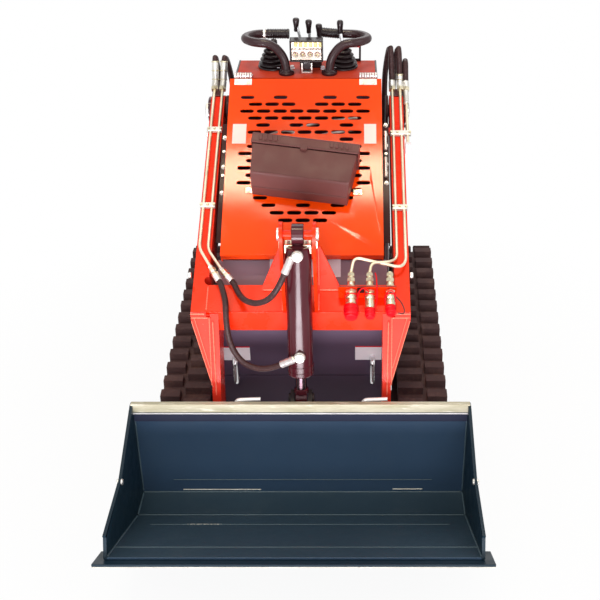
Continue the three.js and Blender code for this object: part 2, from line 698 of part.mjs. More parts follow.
{
  const taper = (inset) => (u) => {
    const part = (u + BOX_END) / (BOX_SPLIT + BOX_END);
    return BOX.lowHalf + (BOX.half - 5 - BOX.lowHalf) * Math.min(1, Math.max(0, part)) - inset;
  };
  const outer = [
    [-BOX_END, 0], [-BOX_END, 36], [-BOX_END + 5, 46], [-BOX_END + 23, BOX.deep - 6],
    [-BOX_END + 30, BOX.deep], [BOX_SPLIT - GAP, BOX.deep], [BOX_SPLIT - GAP, 0],
  ];
  const wall = 4;
  const inner = [
    [-BOX_END + wall, wall], [-BOX_END + wall, 34], [-BOX_END + 9, 44], [-BOX_END + 27, BOX.deep - 9],
    [-BOX_END + 33, BOX.deep - wall], [BOX_SPLIT + 20, BOX.deep - wall], [BOX_SPLIT + 20, wall],
  ];
  piece('toolbox', cut(boxSolid(outer, taper(0), boxFrame), boxSolid(inner, taper(wall), boxFrame)), plastic);

  const lidOuter = [
    [BOX_SPLIT, 3], [BOX_SPLIT, BOX.deep + 5], [BOX_END - 5, BOX.deep + 5], [BOX_END, BOX.deep], [BOX_END, 3],
  ];
  const lidInner = [
    [BOX_SPLIT - 20, 8], [BOX_SPLIT - 20, BOX.deep], [BOX_END - 8, BOX.deep],
    [BOX_END - 5, BOX.deep - 4], [BOX_END - 5, 8],
  ];
  const lidHollow = boxSolid(lidInner, () => BOX.half - 5, boxFrame);
  piece('toolbox_lid', cut(boxSolid(lidOuter, () => BOX.half, boxFrame), lidHollow), plastic);
}

// ---------------------------------------------------------------- lift arms

const armUnder = (y) => armTop(y) - ARM_DEPTH / Math.cos(ARM_SLOPE);
const GUSSET_FROM = 26;                // down the leg from the ledge
const GUSSET_TO = 238;

// A point on the cross-member: x, distance up the slope from the ledge, height off it.
const alongArm = (x, s, up) => [
  x,
  LEDGE[0] + s * Math.cos(ARM_SLOPE) - up * Math.sin(ARM_SLOPE),
  LEDGE[1] + s * Math.sin(ARM_SLOPE) + up * Math.cos(ARM_SLOPE),
];

// The rounded notch in the left arm's inner edge, under the oil lines' ends.
const lineNotch = bar(alongArm(-277, 111, -50), alongArm(-277, 111, 6), 17.5, 20);

for (const [side, s] of SIDES) {
  const box = slab(
    [
      LEDGE, ...arc(ARM_PIVOT, 52, 100, -60, 8), [330, armUnder(330)], [-255, armUnder(-255)],
      [-300, 556], [LEDGE[0] + 4, 556],
    ],
    s * ARM_IN, s * ARM_OUT,
  );
  const elbow = slab(
    [
      [LEDGE[0] + 4, 556], [LEDGE[0] + 4, armTop(LEDGE[0] + 4) - 14], [-275, armTop(-275) - 14],
      [-275, armUnder(-275)], [-285, 545], [-300, 500], [-385, 500],
    ],
    s * LEG_IN, s * ARM_OUT,
  );
  const leg = slab(
    [
      [LEDGE[0] + 2, 640], [-444, 381], [-474, 200], ...arc(BUCKET_PIN, 40, 180, 350, 8),
      [-350, 380], [-290, 560], [-320, 640],
    ],
    s * LEG_IN, s * LEG_OUT,
  );
  const bore = pinX(BUCKET_PIN, 16.5, s * (LEG_IN - 5), s * (LEG_OUT + 5), 20);
  const pivotBore = pinX(ARM_PIVOT, 21.5, s * (ARM_IN - 5), s * (ARM_OUT + 5), 20);
  // The gusset narrows from the arm's full width to the leg, along the leg's front, and the
  // elbow behind it is cut off on the same slant.
  const down = new THREE.Vector3(0, -444 - LEDGE[0], 381 - LEDGE[1]).normalize();
  const across = new THREE.Vector3(s, 0, 0);
  const out = new THREE.Vector3().crossVectors(across, down).multiplyScalar(s);
  const gussetShape = new THREE.Shape([
    new THREE.Vector2(LEG_OUT - 4, 16), new THREE.Vector2(ARM_IN + 1, 16),
    new THREE.Vector2(ARM_IN + 1, 0), new THREE.Vector2(ARM_OUT, 0),
    new THREE.Vector2(ARM_OUT, GUSSET_FROM), new THREE.Vector2(LEG_OUT - 4, GUSSET_TO),
  ]);
  const gussetPlate = new THREE.ExtrudeGeometry(gussetShape, { depth: 14, bevelEnabled: false });
  gussetPlate.applyMatrix4(
    new THREE.Matrix4().makeBasis(across, down, out).setPosition(0, LEDGE[0] + 0.5, LEDGE[1] - 2),
  );
  const slantShape = new THREE.Shape([
    new THREE.Vector2(ARM_OUT + 0.01, GUSSET_FROM), new THREE.Vector2(LEG_OUT - 4, GUSSET_TO),
    new THREE.Vector2(ARM_OUT + 20, GUSSET_TO), new THREE.Vector2(ARM_OUT + 20, GUSSET_FROM),
  ]);
  const slant = new THREE.ExtrudeGeometry(slantShape, { depth: 160, bevelEnabled: false });
  slant.applyMatrix4(
    new THREE.Matrix4().makeBasis(across, down, out).setPosition(0, LEDGE[0] + 0.5, LEDGE[1] - 2),
  );
  const liftLug = pinX(LIFT_ROD_PIN, 14, s * 267, s * (ARM_IN + 3), 14);
  const elbowed = cut(join(box, elbow), solid(slant));
  const arm = cut(join(elbowed, leg, solid(gussetPlate), liftLug), bore, pivotBore);
  piece(`lift_arm_${side}`, side === 'l' ? cut(arm, lineNotch) : arm, orange);
}

// The cross-member: a bent plate between the arms, with two ears for the tilt cylinder.
{
  const half = ARM_IN - GAP;
  const rise = Math.tan(ARM_SLOPE);
  const REAR_Y = -274;
  const top = slab(
    [
      LEDGE, [REAR_Y, armTop(REAR_Y)], [REAR_Y, armTop(REAR_Y) - 13],
      [LEDGE[0] + 12, LEDGE[1] - 13 + 12 * rise],
    ],
    -half, half,
  );
  const flange = block(-(LEG_IN - GAP), LEG_IN - GAP, LEDGE[0], LEDGE[0] + 12, 582, LEDGE[1] - 1);
  const trimmed = slab([LEDGE, [-300, 690], [-300, 560], [LEDGE[0], 560]], -(LEG_IN - GAP), LEG_IN - GAP);
  const earOutline = [
    [LEDGE[0] + 3, 640], [-398, 875], ...arc(TILT_TOP_PIN, 36, 200, -10, 8), [-322, 860], [-292, 672],
  ];
  const ears = [-1, 1].map((s) => slab(earOutline, s * 42, s * 52));
  const pin = pinX(TILT_TOP_PIN, 12, -58, 58, 16);
  const heads = [-1, 1].map((s) => pinX(TILT_TOP_PIN, 18, s * 52, s * 58, 12));
  const webs = [-1, 1].map((s) => {
    const shape = new THREE.Shape([
      new THREE.Vector2(s * 50, 678), new THREE.Vector2(s * 118, 678),
      new THREE.Vector2(s * 118, 690), new THREE.Vector2(s * 60, 832), new THREE.Vector2(s * 50, 832),
    ]);
    const web = new THREE.ExtrudeGeometry(shape, { depth: 8, bevelEnabled: false });
    return solid(web.rotateX(Math.PI / 2).translate(0, -284, 0));
  });
  const flangeCut = flange.intersect(trimmed);
  const member = join(top, flangeCut, ...ears, pin, ...heads, ...webs);
  const armSpaces = [-1, 1].map((s) => slab(
    [[LEDGE[0] - 1, 500], [LEDGE[0] - 1, LEDGE[1] - 14], [-270, LEDGE[1] - 14 + 88 * rise], [-270, 500]],
    s * (LEG_IN - GAP), s * (ARM_IN + 2),
  ));
  piece('cross_member', cut(member, ...armSpaces, lineNotch), orange);
}

// Auxiliary couplers in their bracket on the cross-member.
const COUPLER_UP = 42;
const COUPLER_REAR = 112;
const COUPLERS = [
  { x: 150, body: 17, cap: 22, capFrom: -4, capTo: -44 },
  { x: 205.5, body: 15, cap: 16, capFrom: -14, capTo: -44 },
  { x: 266, body: 15, cap: 16, capFrom: -4, capTo: -34 },
];
{
  const standing = new THREE.BoxGeometry(172, 5, 62);
  const [, y, z] = alongArm(0, 52, 0);
  standing.translate(198, 0, 31 + GAP).rotateX(ARM_SLOPE).translate(0, y, z);
  const holes = COUPLERS.map(
    ({ x }) => bar(alongArm(x, 40, COUPLER_UP), alongArm(x, 64, COUPLER_UP), 10, 12),
  );
  piece('coupler_bracket', cut(solid(standing), ...holes), zinc);
}
COUPLERS.forEach(({ x, body, cap, capFrom, capTo }, i) => {
  const nipple = bar(alongArm(x, 42, COUPLER_UP), alongArm(x, 62, COUPLER_UP), 9, 10);
  const rear = bar(alongArm(x, 55.5, COUPLER_UP), alongArm(x, COUPLER_REAR, COUPLER_UP), 13, 6);
  const front = bar(alongArm(x, 48.5, COUPLER_UP), alongArm(x, capFrom + 0.5, COUPLER_UP), body, 14);
  piece(`coupler_${i + 1}`, join(nipple, rear, front), zinc);
  const dustCap = bar(alongArm(x, capFrom, COUPLER_UP), alongArm(x, capTo, COUPLER_UP), cap, 16, cap - 2);
  piece(`dust_cap_${i + 1}`, dustCap, redPlastic);
});

// Steel oil lines on the arms' top faces, held by two clamps each.
const TUBE_R = 4.8;
const TUBE_X = [290.5, 317.5];
const TUBE_TOP = 420;
const onArm = (x, y, up = TUBE_R + 1) => [x, y, armTop(y) + up / Math.cos(ARM_SLOPE)];
// The left lines turn inward; each ends in a sleeve: [x, along] at its start and its end.
const END_UP = 18;
const LINE_ENDS = {
  outer: [[-277, 148], [-247, 97.5]],
  inner: [[-243, 140], [-208.6, 96.4]],
};
const ROUTES = {
  l: [
    [onArm(-TUBE_X[0], TUBE_TOP), onArm(-TUBE_X[0], -166), alongArm(...LINE_ENDS.inner[0], END_UP)],
    [onArm(-TUBE_X[1], TUBE_TOP), onArm(-TUBE_X[1], -162), alongArm(...LINE_ENDS.outer[0], END_UP)],
  ],
  r: [
    [
      onArm(TUBE_X[0], TUBE_TOP), onArm(TUBE_X[0], -196), alongArm(262, 151, COUPLER_UP - 4),
      alongArm(212, 147, COUPLER_UP), alongArm(COUPLERS[1].x, COUPLER_REAR + 1.4, COUPLER_UP),
    ],
    [
      onArm(TUBE_X[1], TUBE_TOP), onArm(TUBE_X[1], -206), alongArm(298, 136, COUPLER_UP - 10),
      alongArm(159, 164, COUPLER_UP + 4), alongArm(COUPLERS[0].x, COUPLER_REAR + 1.4, COUPLER_UP),
    ],
    [onArm(338, TUBE_TOP, 4), onArm(338, 205, 4)],
  ],
};
// Clamps: [y, outer side].
const CLAMPS = { l: [[262, 328], [-15, 328]], r: [[248, 349], [-22, 328]] };
const CLAMP_IN = 280;
for (const [side, s] of SIDES) {
  const lines = ROUTES[side].map((route) => bentTube(route, TUBE_R, 22));
  const clamps = CLAMPS[side].map(([y, outer]) => {
    const [, low, high] = onArm(0, y, 0.6);
    const clamp = new THREE.BoxGeometry(outer - CLAMP_IN, 22, 14);
    clamp.translate(0, 0, 7).rotateX(ARM_SLOPE).translate((s * (outer + CLAMP_IN)) / 2, low, high);
    return solid(clamp);
  });
  const slope = [0, Math.cos(ARM_SLOPE), Math.sin(ARM_SLOPE)];
  const nuts = ROUTES[side].map(([top]) => bar(
    top.map((v, k) => v - 6 * slope[k]), top.map((v, k) => v + 34 * slope[k]), 11, 6,
  ));
  const ends = side === 'l' ? Object.values(LINE_ENDS).map(([start, end]) => bar(
    alongArm(...start, END_UP), alongArm(...end, END_UP), 9.5, 8,
  )) : [];
  const stop = side === 'r' ? [block(329, 348, 188, 214, armTop(200) - 20, armTop(200) + 14)] : [];
  piece(`oil_lines_${side}`, join(...lines, ...clamps, ...nuts, ...ends, ...stop), zinc);
}

// Hoses from the oil lines' rear ends, over the pivots and down behind the towers.
const HOSE_R = 10;
const ARM_HOSES = [
  { name: 'arm_hose_l1', x: -290.5, foot: -272, peak: 1134, back: 496 },
  { name: 'arm_hose_l2', x: -317.5, foot: -316, peak: 1134, back: 496 },
  { name: 'arm_hose_r1', x: 290.5, foot: 270, peak: 1168, back: 500 },
  { name: 'arm_hose_r2', x: 317.5, foot: 300, peak: 1165, back: 500 },
  { name: 'arm_hose_r3', x: 338, foot: 334, peak: 1120, back: 500 },
];
for (const { name, x, foot, peak, back } of ARM_HOSES) {
  const up = x === 338 ? 4 : TUBE_R + 1;
  const [, y0, z0] = onArm(x, TUBE_TOP, up);
  const past = (reach) => [x, y0 + reach * Math.cos(ARM_SLOPE), z0 + reach * Math.sin(ARM_SLOPE)];
  piece(name, hose([
    past(34.6), past(44), [(2 * x + foot) / 3, back - 6, peak], [foot, 534, (2 * peak + 862) / 3],
    [foot, 537, 900], [foot, 537, 862.5],
  ], HOSE_R, 9), rubber);
}

// ---------------------------------------------------------------- cylinders

// A cylinder between two pins: an eye and barrel at one end, a rod and eye at the other.
function barrelSolid(base, rodEnd, x, size) {
  const dy = rodEnd[0] - base[0];
  const dz = rodEnd[1] - base[1];
  const length = Math.hypot(dy, dz);
  const at = (t) => [x, base[0] + (dy * t) / length, base[1] + (dz * t) / length];
  const eye = pinX(base, size.eye, x - size.eyeHalf, x + size.eyeHalf, 16);
  const neck = bar(at(0), at(size.barrelFrom + 4), size.eye * 0.62, 12);
  const barrel = bar(at(size.barrelFrom), at(size.barrelTo), size.barrel, 16);
  const gland = bar(at(size.barrelTo - 26), at(size.barrelTo + 4), size.barrel + 1.5, 16);
  const pinHole = pinX(base, size.bore, x - size.eyeHalf - 5, x + size.eyeHalf + 5, 16);
  const rodHole = bar(at(size.barrelTo - size.holeDeep), at(size.barrelTo + 20), size.rod + 0.8, 12);
  return cut(join(eye, neck, barrel, gland), pinHole, rodHole);
}

function rodSolid(base, rodEnd, x, size) {
  const dy = rodEnd[0] - base[0];
  const dz = rodEnd[1] - base[1];
  const length = Math.hypot(dy, dz);
  const at = (t) => [x, base[0] + (dy * t) / length, base[1] + (dz * t) / length];
  const rod = bar(at(size.barrelTo - size.holeDeep + 8), at(length), size.rod, 12);
  const eye = pinX(rodEnd, size.rodEye, x - size.rodEyeHalf, x + size.rodEyeHalf, 16);
  return join(rod, eye);
}

const TILT = {
  eye: 30, eyeHalf: 17, bore: 13.5, barrel: 37.5, barrelFrom: 34, barrelTo: 436, holeDeep: 372,
  rod: 17, rodEye: 26, rodEyeHalf: 17,
};
const tiltDir = new THREE.Vector2(...TILT_ROD_PIN).sub(new THREE.Vector2(...TILT_TOP_PIN)).normalize();
// A point by the tilt cylinder: x, distance down from the top pin, distance forward.
const onTilt = (x, t, out) => [
  x,
  TILT_TOP_PIN[0] + tiltDir.x * t + tiltDir.y * out,
  TILT_TOP_PIN[1] + tiltDir.y * t - tiltDir.x * out,
];
const BANJO = { r: 14, upper: 50, lower: 366, out: 48 };
{
  const [, blockY, blockZ] = onTilt(0, 38, 0);
  const blocks = [-1, 1].map(
    (s) => block(s * 14, s * 38, blockY - 15, blockY + 15, blockZ - 14, blockZ + 14),
  );
  const banjos = [BANJO.upper, BANJO.lower].map(
    (t) => bar(onTilt(0, t, 30), onTilt(0, t, BANJO.out), BANJO.r, 12),
  );
  const barrel = barrelSolid(TILT_TOP_PIN, TILT_ROD_PIN, 0, TILT);
  const rodFrom = onTilt(0, TILT.barrelTo - TILT.holeDeep, 0);
  const rodSpace = bar(rodFrom, onTilt(0, 460, 0), TILT.rod + 0.8, 12);
  piece('tilt_barrel', join(barrel, ...blocks, ...banjos).subtract(rodSpace), black);
  piece('tilt_rod', rodSolid(TILT_TOP_PIN, TILT_ROD_PIN, 0, TILT), steel);
}

// Hoses to the tilt cylinder; each ends in a crimped sleeve beside its banjo.
const TILT_HOSE_R = 9;
const pastEnd = ([start, end], reach) => {
  const run = Math.hypot(end[0] - start[0], end[1] - start[1]);
  const part = reach / run;
  return alongArm(end[0] + part * (end[0] - start[0]), end[1] + part * (end[1] - start[1]), END_UP);
};
const TILT_HOSES = [
  {
    name: 'tilt_hose_upper',
    route: [
      pastEnd(LINE_ENDS.inner, 0.6), pastEnd(LINE_ENDS.inner, 12),
      [-182, -330, 692], [-154, -388, 706],
      [-122, -420, 719], [-88, -436, 741], [-58, -446, 784], onTilt(-18.5, BANJO.upper + 9, 42),
    ],
  },
  {
    name: 'tilt_hose_lower',
    route: [
      pastEnd(LINE_ENDS.outer, 0.6), pastEnd(LINE_ENDS.outer, 12),
      [-229, -328, 695], [-220, -362, 683],
      [-218, -390, 640], [-211, -406, 581], [-196, -417, 542], [-168, -430, 512],
      [-131, -443, 503], [-97, -452, 509], [-60, -461, 528], onTilt(-18.5, BANJO.lower + 8, 42),
    ],
  },
];
for (const { name, route } of TILT_HOSES) piece(name, hose(route, TILT_HOSE_R, 14), rubber);

const LIFT = {
  eye: 26, eyeHalf: 18, bore: 13, barrel: 22, barrelFrom: 24, barrelTo: 560, holeDeep: 520,
  rod: 12, rodEye: 24, rodEyeHalf: 11,
};
for (const [side, s] of SIDES) {
  piece(`lift_barrel_${side}`, barrelSolid(LIFT_BASE_PIN, LIFT_ROD_PIN, s * LIFT_X, LIFT), black);
  piece(`lift_rod_${side}`, rodSolid(LIFT_BASE_PIN, LIFT_ROD_PIN, s * LIFT_X, LIFT), steel);
}

// ---------------------------------------------------------------- bucket and hitch

const floorDir = new THREE.Vector2(...BUCKET_HEEL).sub(new THREE.Vector2(...BUCKET_TIP)).normalize();
const floorUp = new THREE.Vector2(-floorDir.y, floorDir.x);
const onFloor = (t, n) => [
  BUCKET_TIP[0] + floorDir.x * t + floorUp.x * n, BUCKET_TIP[1] + floorDir.y * t + floorUp.y * n,
];
const backDir = new THREE.Vector2(BUCKET_RIM[0] - BUCKET_FOLD[0], BUCKET_RIM[1] - BUCKET_FOLD[1]);
const BACK_LONG = backDir.length();
backDir.normalize();
const backOut = new THREE.Vector2(backDir.y, -backDir.x);
const onBack = (t, n) => [
  BUCKET_FOLD[0] + backDir.x * t + backOut.x * n, BUCKET_FOLD[1] + backDir.y * t + backOut.y * n,
];

{
  const w = BUCKET_WALL;
  const skin = [
    onFloor(34, 0), BUCKET_HEEL, BUCKET_FOLD, BUCKET_RIM, onBack(BACK_LONG, -w),
    onBack(w + 2, -w), [BUCKET_HEEL[0] + 3, BUCKET_HEEL[1] + w], onFloor(34, w),
  ];
  const floor = slab(skin, -BUCKET_HALF, BUCKET_HALF);
  const sideOutline = [
    onFloor(34, 0.5), onFloor(34, 62), [-945, 328], [-733, 332], [BUCKET_RIM[0] - 10, BUCKET_RIM[1] - 2],
    onBack(BACK_LONG - 4, -1), [BUCKET_FOLD[0] - 1, BUCKET_FOLD[1] + 1],
    [BUCKET_HEEL[0], BUCKET_HEEL[1] + 1],
  ];
  const cheeks = [-1, 1].map((s) => slab(sideOutline, s * (BUCKET_HALF - 8), s * BUCKET_HALF));
  const lip = slab(
    [
      onBack(BACK_LONG, -w + 1), onBack(BACK_LONG, -w - 8),
      onBack(BACK_LONG - 30, -w - 8), onBack(BACK_LONG - 30, -w + 1),
    ],
    -BUCKET_HALF, BUCKET_HALF,
  );
  piece('bucket', join(floor, ...cheeks, lip), bucketBlue);
  piece('cutting_edge', slab(
    [onFloor(0, -1), onFloor(8, -12), onFloor(104, -12), onFloor(104, -GAP), onFloor(6, -GAP)],
    -EDGE_HALF, EDGE_HALF,
  ), steel);
}

{
  const plate = slab([onBack(16, GAP), onBack(16, 14), onBack(318, 14), onBack(318, GAP)], -287, 287);
  const earOutline = [onBack(40, 12), ...arc(BUCKET_PIN, 38, 235, 400, 8), onBack(190, 12)];
  const ears = [-1, 1].map((s) => join(
    slab(earOutline, s * 229, s * 240), slab(earOutline, s * 276, s * 287),
    pinX(BUCKET_PIN, 15, s * 229, s * 292, 12),
  ));
  const lugOutline = [onBack(240, 12), ...arc(TILT_ROD_PIN, 28, 235, 430, 8), onBack(312, 12)];
  const lugs = [-1, 1].map((s) => join(
    slab(lugOutline, s * 20, s * 32), pinX(TILT_ROD_PIN, 17, s * 31, s * 38, 12),
  ));
  const spine = block(-34, 34, -520, -505, 200, 300).intersect(
    slab([onBack(16, 1), onBack(16, 24), onBack(318, 24), onBack(318, 1)], -40, 40),
  );
  const LATCH_X = [-196, 182];
  const latches = LATCH_X.map((x) => bentTube(
    [[x, onBack(300, 10)[0], 390], [x + 4, onBack(318, 10)[0], 424], [x + 74, onBack(318, 10)[0] + 4, 424]],
    5, 10,
  ));
  piece('hitch_plate', join(plate, ...ears, ...lugs, spine, ...latches), black);
}

export default machine;
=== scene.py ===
"""Looks of a stand-on mini track loader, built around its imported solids.

Metres, +Z up, the bucket towards -Y. Tables give sizes in millimetres.
"""

import json
import math
from functools import partial

import bpy
from mathutils import Matrix, Vector


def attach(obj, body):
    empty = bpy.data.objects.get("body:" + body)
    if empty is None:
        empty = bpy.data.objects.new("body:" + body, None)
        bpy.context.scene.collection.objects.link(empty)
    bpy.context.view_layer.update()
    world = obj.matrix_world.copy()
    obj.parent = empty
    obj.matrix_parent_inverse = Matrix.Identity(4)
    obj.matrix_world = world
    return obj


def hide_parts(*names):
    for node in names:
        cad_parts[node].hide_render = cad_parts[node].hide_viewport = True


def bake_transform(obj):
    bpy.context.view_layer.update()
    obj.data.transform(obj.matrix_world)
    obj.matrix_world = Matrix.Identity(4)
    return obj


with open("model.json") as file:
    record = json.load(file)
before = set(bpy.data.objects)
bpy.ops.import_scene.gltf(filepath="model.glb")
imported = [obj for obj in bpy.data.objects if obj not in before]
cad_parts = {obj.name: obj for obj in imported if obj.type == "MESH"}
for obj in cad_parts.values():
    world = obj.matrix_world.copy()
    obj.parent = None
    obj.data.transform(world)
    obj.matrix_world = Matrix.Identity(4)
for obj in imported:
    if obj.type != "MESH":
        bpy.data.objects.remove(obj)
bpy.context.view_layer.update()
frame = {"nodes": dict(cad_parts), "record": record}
BODIES = frame["record"]["behaviour"]["bodies"]
BODY_OF = {node: body for body, nodes in BODIES.items() for node in nodes}

MM = 0.001
SIDES = (("l", -1), ("r", 1))

# ------------------------------------------------------------------ the machine's own sizes, as in its part

ARM_PIVOT = (405, 975)
LEDGE = (-358, 647)
ARM_SLOPE = math.radians(26.8)
TILT_TOP = (-365, 915)
TILT_ROD = (-452, 395)
LIFT_BASE = (-170, 360)
LIFT_EYE = (280, 950)
BUCKET_PIN = (-435, 185)
HOOD_LOW = (-200, 750)
HOOD_SLOPE = math.radians(34.9)
HOOD_HINGE = (332, 1127)
TIP, HEEL, FOLD, RIM = (-1000, 283), (-647, 91), (-539, 90), (-503.1, 423)
CONSOLE_TOP = 1116


def arm_top(y):
    return LEDGE[1] + math.tan(ARM_SLOPE) * (y - LEDGE[0])


def on_arm(x, y, up):
    """A point above an arm's top face."""
    return (x, y, arm_top(y) + up / math.cos(ARM_SLOPE))


def along_arm(x, s, up):
    """A point on the cross-member: distance up the slope from its ledge, and height off it."""
    c, n = math.cos(ARM_SLOPE), math.sin(ARM_SLOPE)
    return (x, LEDGE[0] + s * c - up * n, LEDGE[1] + s * n + up * c)


def on_hood(x, u, n):
    """A point on the hood: distance up from its lip, and height off the sheet."""
    c, s = math.cos(HOOD_SLOPE), math.sin(HOOD_SLOPE)
    return (x, HOOD_LOW[0] + u * c - n * s, HOOD_LOW[1] + u * s + n * c)


def between(a, b):
    """A function giving points by a line in side view: x, distance from a, distance in front."""
    span = math.dist(a, b)
    dy, dz = (b[0] - a[0]) / span, (b[1] - a[1]) / span
    return lambda x, t, out=0: (x, a[0] + dy * t + dz * out, a[1] + dz * t - dy * out)


on_tilt = between(TILT_TOP, TILT_ROD)
on_lift = between(LIFT_BASE, LIFT_EYE)
on_back = between(FOLD, RIM)          # out < 0 is inside the bucket
HOOD_AXES = Matrix.Rotation(HOOD_SLOPE, 4, "X")
ARM_AXES = Matrix.Rotation(ARM_SLOPE, 4, "X")


# ------------------------------------------------------------------ camera, light and floor

CAMERA_AT = (0.1513, -2.705, 2.214)
CAMERA_TURN = (57.0, 0.0, 0.0)
CAMERA_SHIFT = -0.0858


def set_up_stage():
    scene = bpy.context.scene
    scene.view_settings.view_transform = "Standard"
    bpy.ops.object.camera_add(location=CAMERA_AT, rotation=[math.radians(a) for a in CAMERA_TURN])
    camera = bpy.context.object
    camera.name = "camera"
    camera.data.lens = 57.0
    camera.data.sensor_width = 36.0
    camera.data.shift_x = CAMERA_SHIFT
    scene.camera = camera

    # [name, place, turn in degrees, width and height, power, color]. The last two are there to
    # copy reflections: a warm band on the hood, and the line of light on the tilt barrel.
    lamps = (
        ("key", (-1.6, -2.6, 4.2), (32, -18, 0), (3.0, 3.0), 31, (1, 1, 1)),
        ("fill", (2.6, -1.6, 3.2), (30, 42, 0), (2.6, 2.6), 22, (1, 1, 1)),
        ("front", (0.2, -5.6, 2.0), (84, 0, 0), (3.4, 2.0), 95, (1, 0.98, 1.0)),
        ("rear", (0.4, 3.2, 3.6), (-42, 0, 0), (2.8, 2.8), 41, (1, 1, 1)),
        ("skylight", (-0.54, -1.0, 12.0), (0, 0, 0), (2.9, 0.67), 310, (1.0, 0.88, 0.62)),
        ("low", (-0.13, -3.3, 0.03), (180, 0, 0), (1.7, 3.0), 350, (1, 0.95, 1.0)),
    )
    for name, place, turn, (width, height), power, color in lamps:
        bpy.ops.object.light_add(type="AREA", location=place, rotation=[math.radians(a) for a in turn])
        lamp = bpy.context.object
        lamp.name = f"lamp_{name}"
        lamp.visible_camera = False
        lamp.data.shape = "RECTANGLE"
        lamp.data.size = width
        lamp.data.size_y = height
        lamp.data.energy = power
        lamp.data.color = color

    world = bpy.data.worlds.new("studio")
    scene.world = world
    world.use_nodes = True
    nodes, links = world.node_tree.nodes, world.node_tree.links
    nodes.clear()
    seen = nodes.new("ShaderNodeBackground")
    seen.inputs["Color"].default_value = (1, 1, 1, 1)
    soft = nodes.new("ShaderNodeBackground")
    soft.inputs["Color"].default_value = (0.97, 0.98, 1.0, 1)
    soft.inputs["Strength"].default_value = 0.43
    mix, out = nodes.new("ShaderNodeMixShader"), nodes.new("ShaderNodeOutputWorld")
    links.new(pale_rays(nodes, links), mix.inputs[0])
    links.new(soft.outputs[0], mix.inputs[1])
    links.new(seen.outputs[0], mix.inputs[2])
    links.new(mix.outputs[0], out.inputs[0])

    bpy.ops.mesh.primitive_plane_add(size=80, location=(0, 0, 0))
    floor = bpy.context.object
    floor.name = "floor"
    sheet = bpy.data.materials.new("floor_white")
    sheet.use_nodes = True
    nodes, links = sheet.node_tree.nodes, sheet.node_tree.links
    nodes.clear()
    white = nodes.new("ShaderNodeEmission")
    white.inputs["Strength"].default_value = 1.0
    matt = nodes.new("ShaderNodeBsdfDiffuse")
    matt.inputs["Color"].default_value = (0.94, 0.94, 0.94, 1)
    # The floor keeps a shadow near the machine and turns pure white away from it.
    place, away = nodes.new("ShaderNodeTexCoord"), nodes.new("ShaderNodeVectorMath")
    away.operation = "LENGTH"
    links.new(place.outputs["Object"], away.inputs[0])
    share = nodes.new("ShaderNodeMapRange")
    for socket, value in (("From Min", 0.9), ("From Max", 1.6), ("To Min", 0.93), ("To Max", 1.0)):
        share.inputs[socket].default_value = value
    links.new(away.outputs["Value"], share.inputs["Value"])
    part = nodes.new("ShaderNodeMath")
    part.operation = "MULTIPLY"
    links.new(share.outputs["Result"], part.inputs[1])
    mix, out = nodes.new("ShaderNodeMixShader"), nodes.new("ShaderNodeOutputMaterial")
    links.new(pale_rays(nodes, links), part.inputs[0])
    links.new(part.outputs[0], mix.inputs[0])
    links.new(matt.outputs[0], mix.inputs[1])
    links.new(white.outputs[0], mix.inputs[2])
    links.new(mix.outputs[0], out.inputs["Surface"])
    floor.data.materials.append(sheet)


def pale_rays(nodes, links):
    """1 for rays that see the background straight, in a reflection or through glass."""
    path = nodes.new("ShaderNodeLightPath")
    first, second = nodes.new("ShaderNodeMath"), nodes.new("ShaderNodeMath")
    first.operation = second.operation = "MAXIMUM"
    links.new(path.outputs["Is Camera Ray"], first.inputs[0])
    links.new(path.outputs["Is Glossy Ray"], first.inputs[1])
    links.new(first.outputs[0], second.inputs[0])
    links.new(path.outputs["Is Transmission Ray"], second.inputs[1])
    return second.outputs[0]


set_up_stage()


# ------------------------------------------------------------------ finishes

def tone(red, green, blue):
    """A colour given as it shows on a screen, 0 to 255."""
    def light(value):
        value /= 255
        return value / 12.92 if value <= 0.04045 else ((value + 0.055) / 1.055) ** 2.4
    return (light(red), light(green), light(blue), 1)


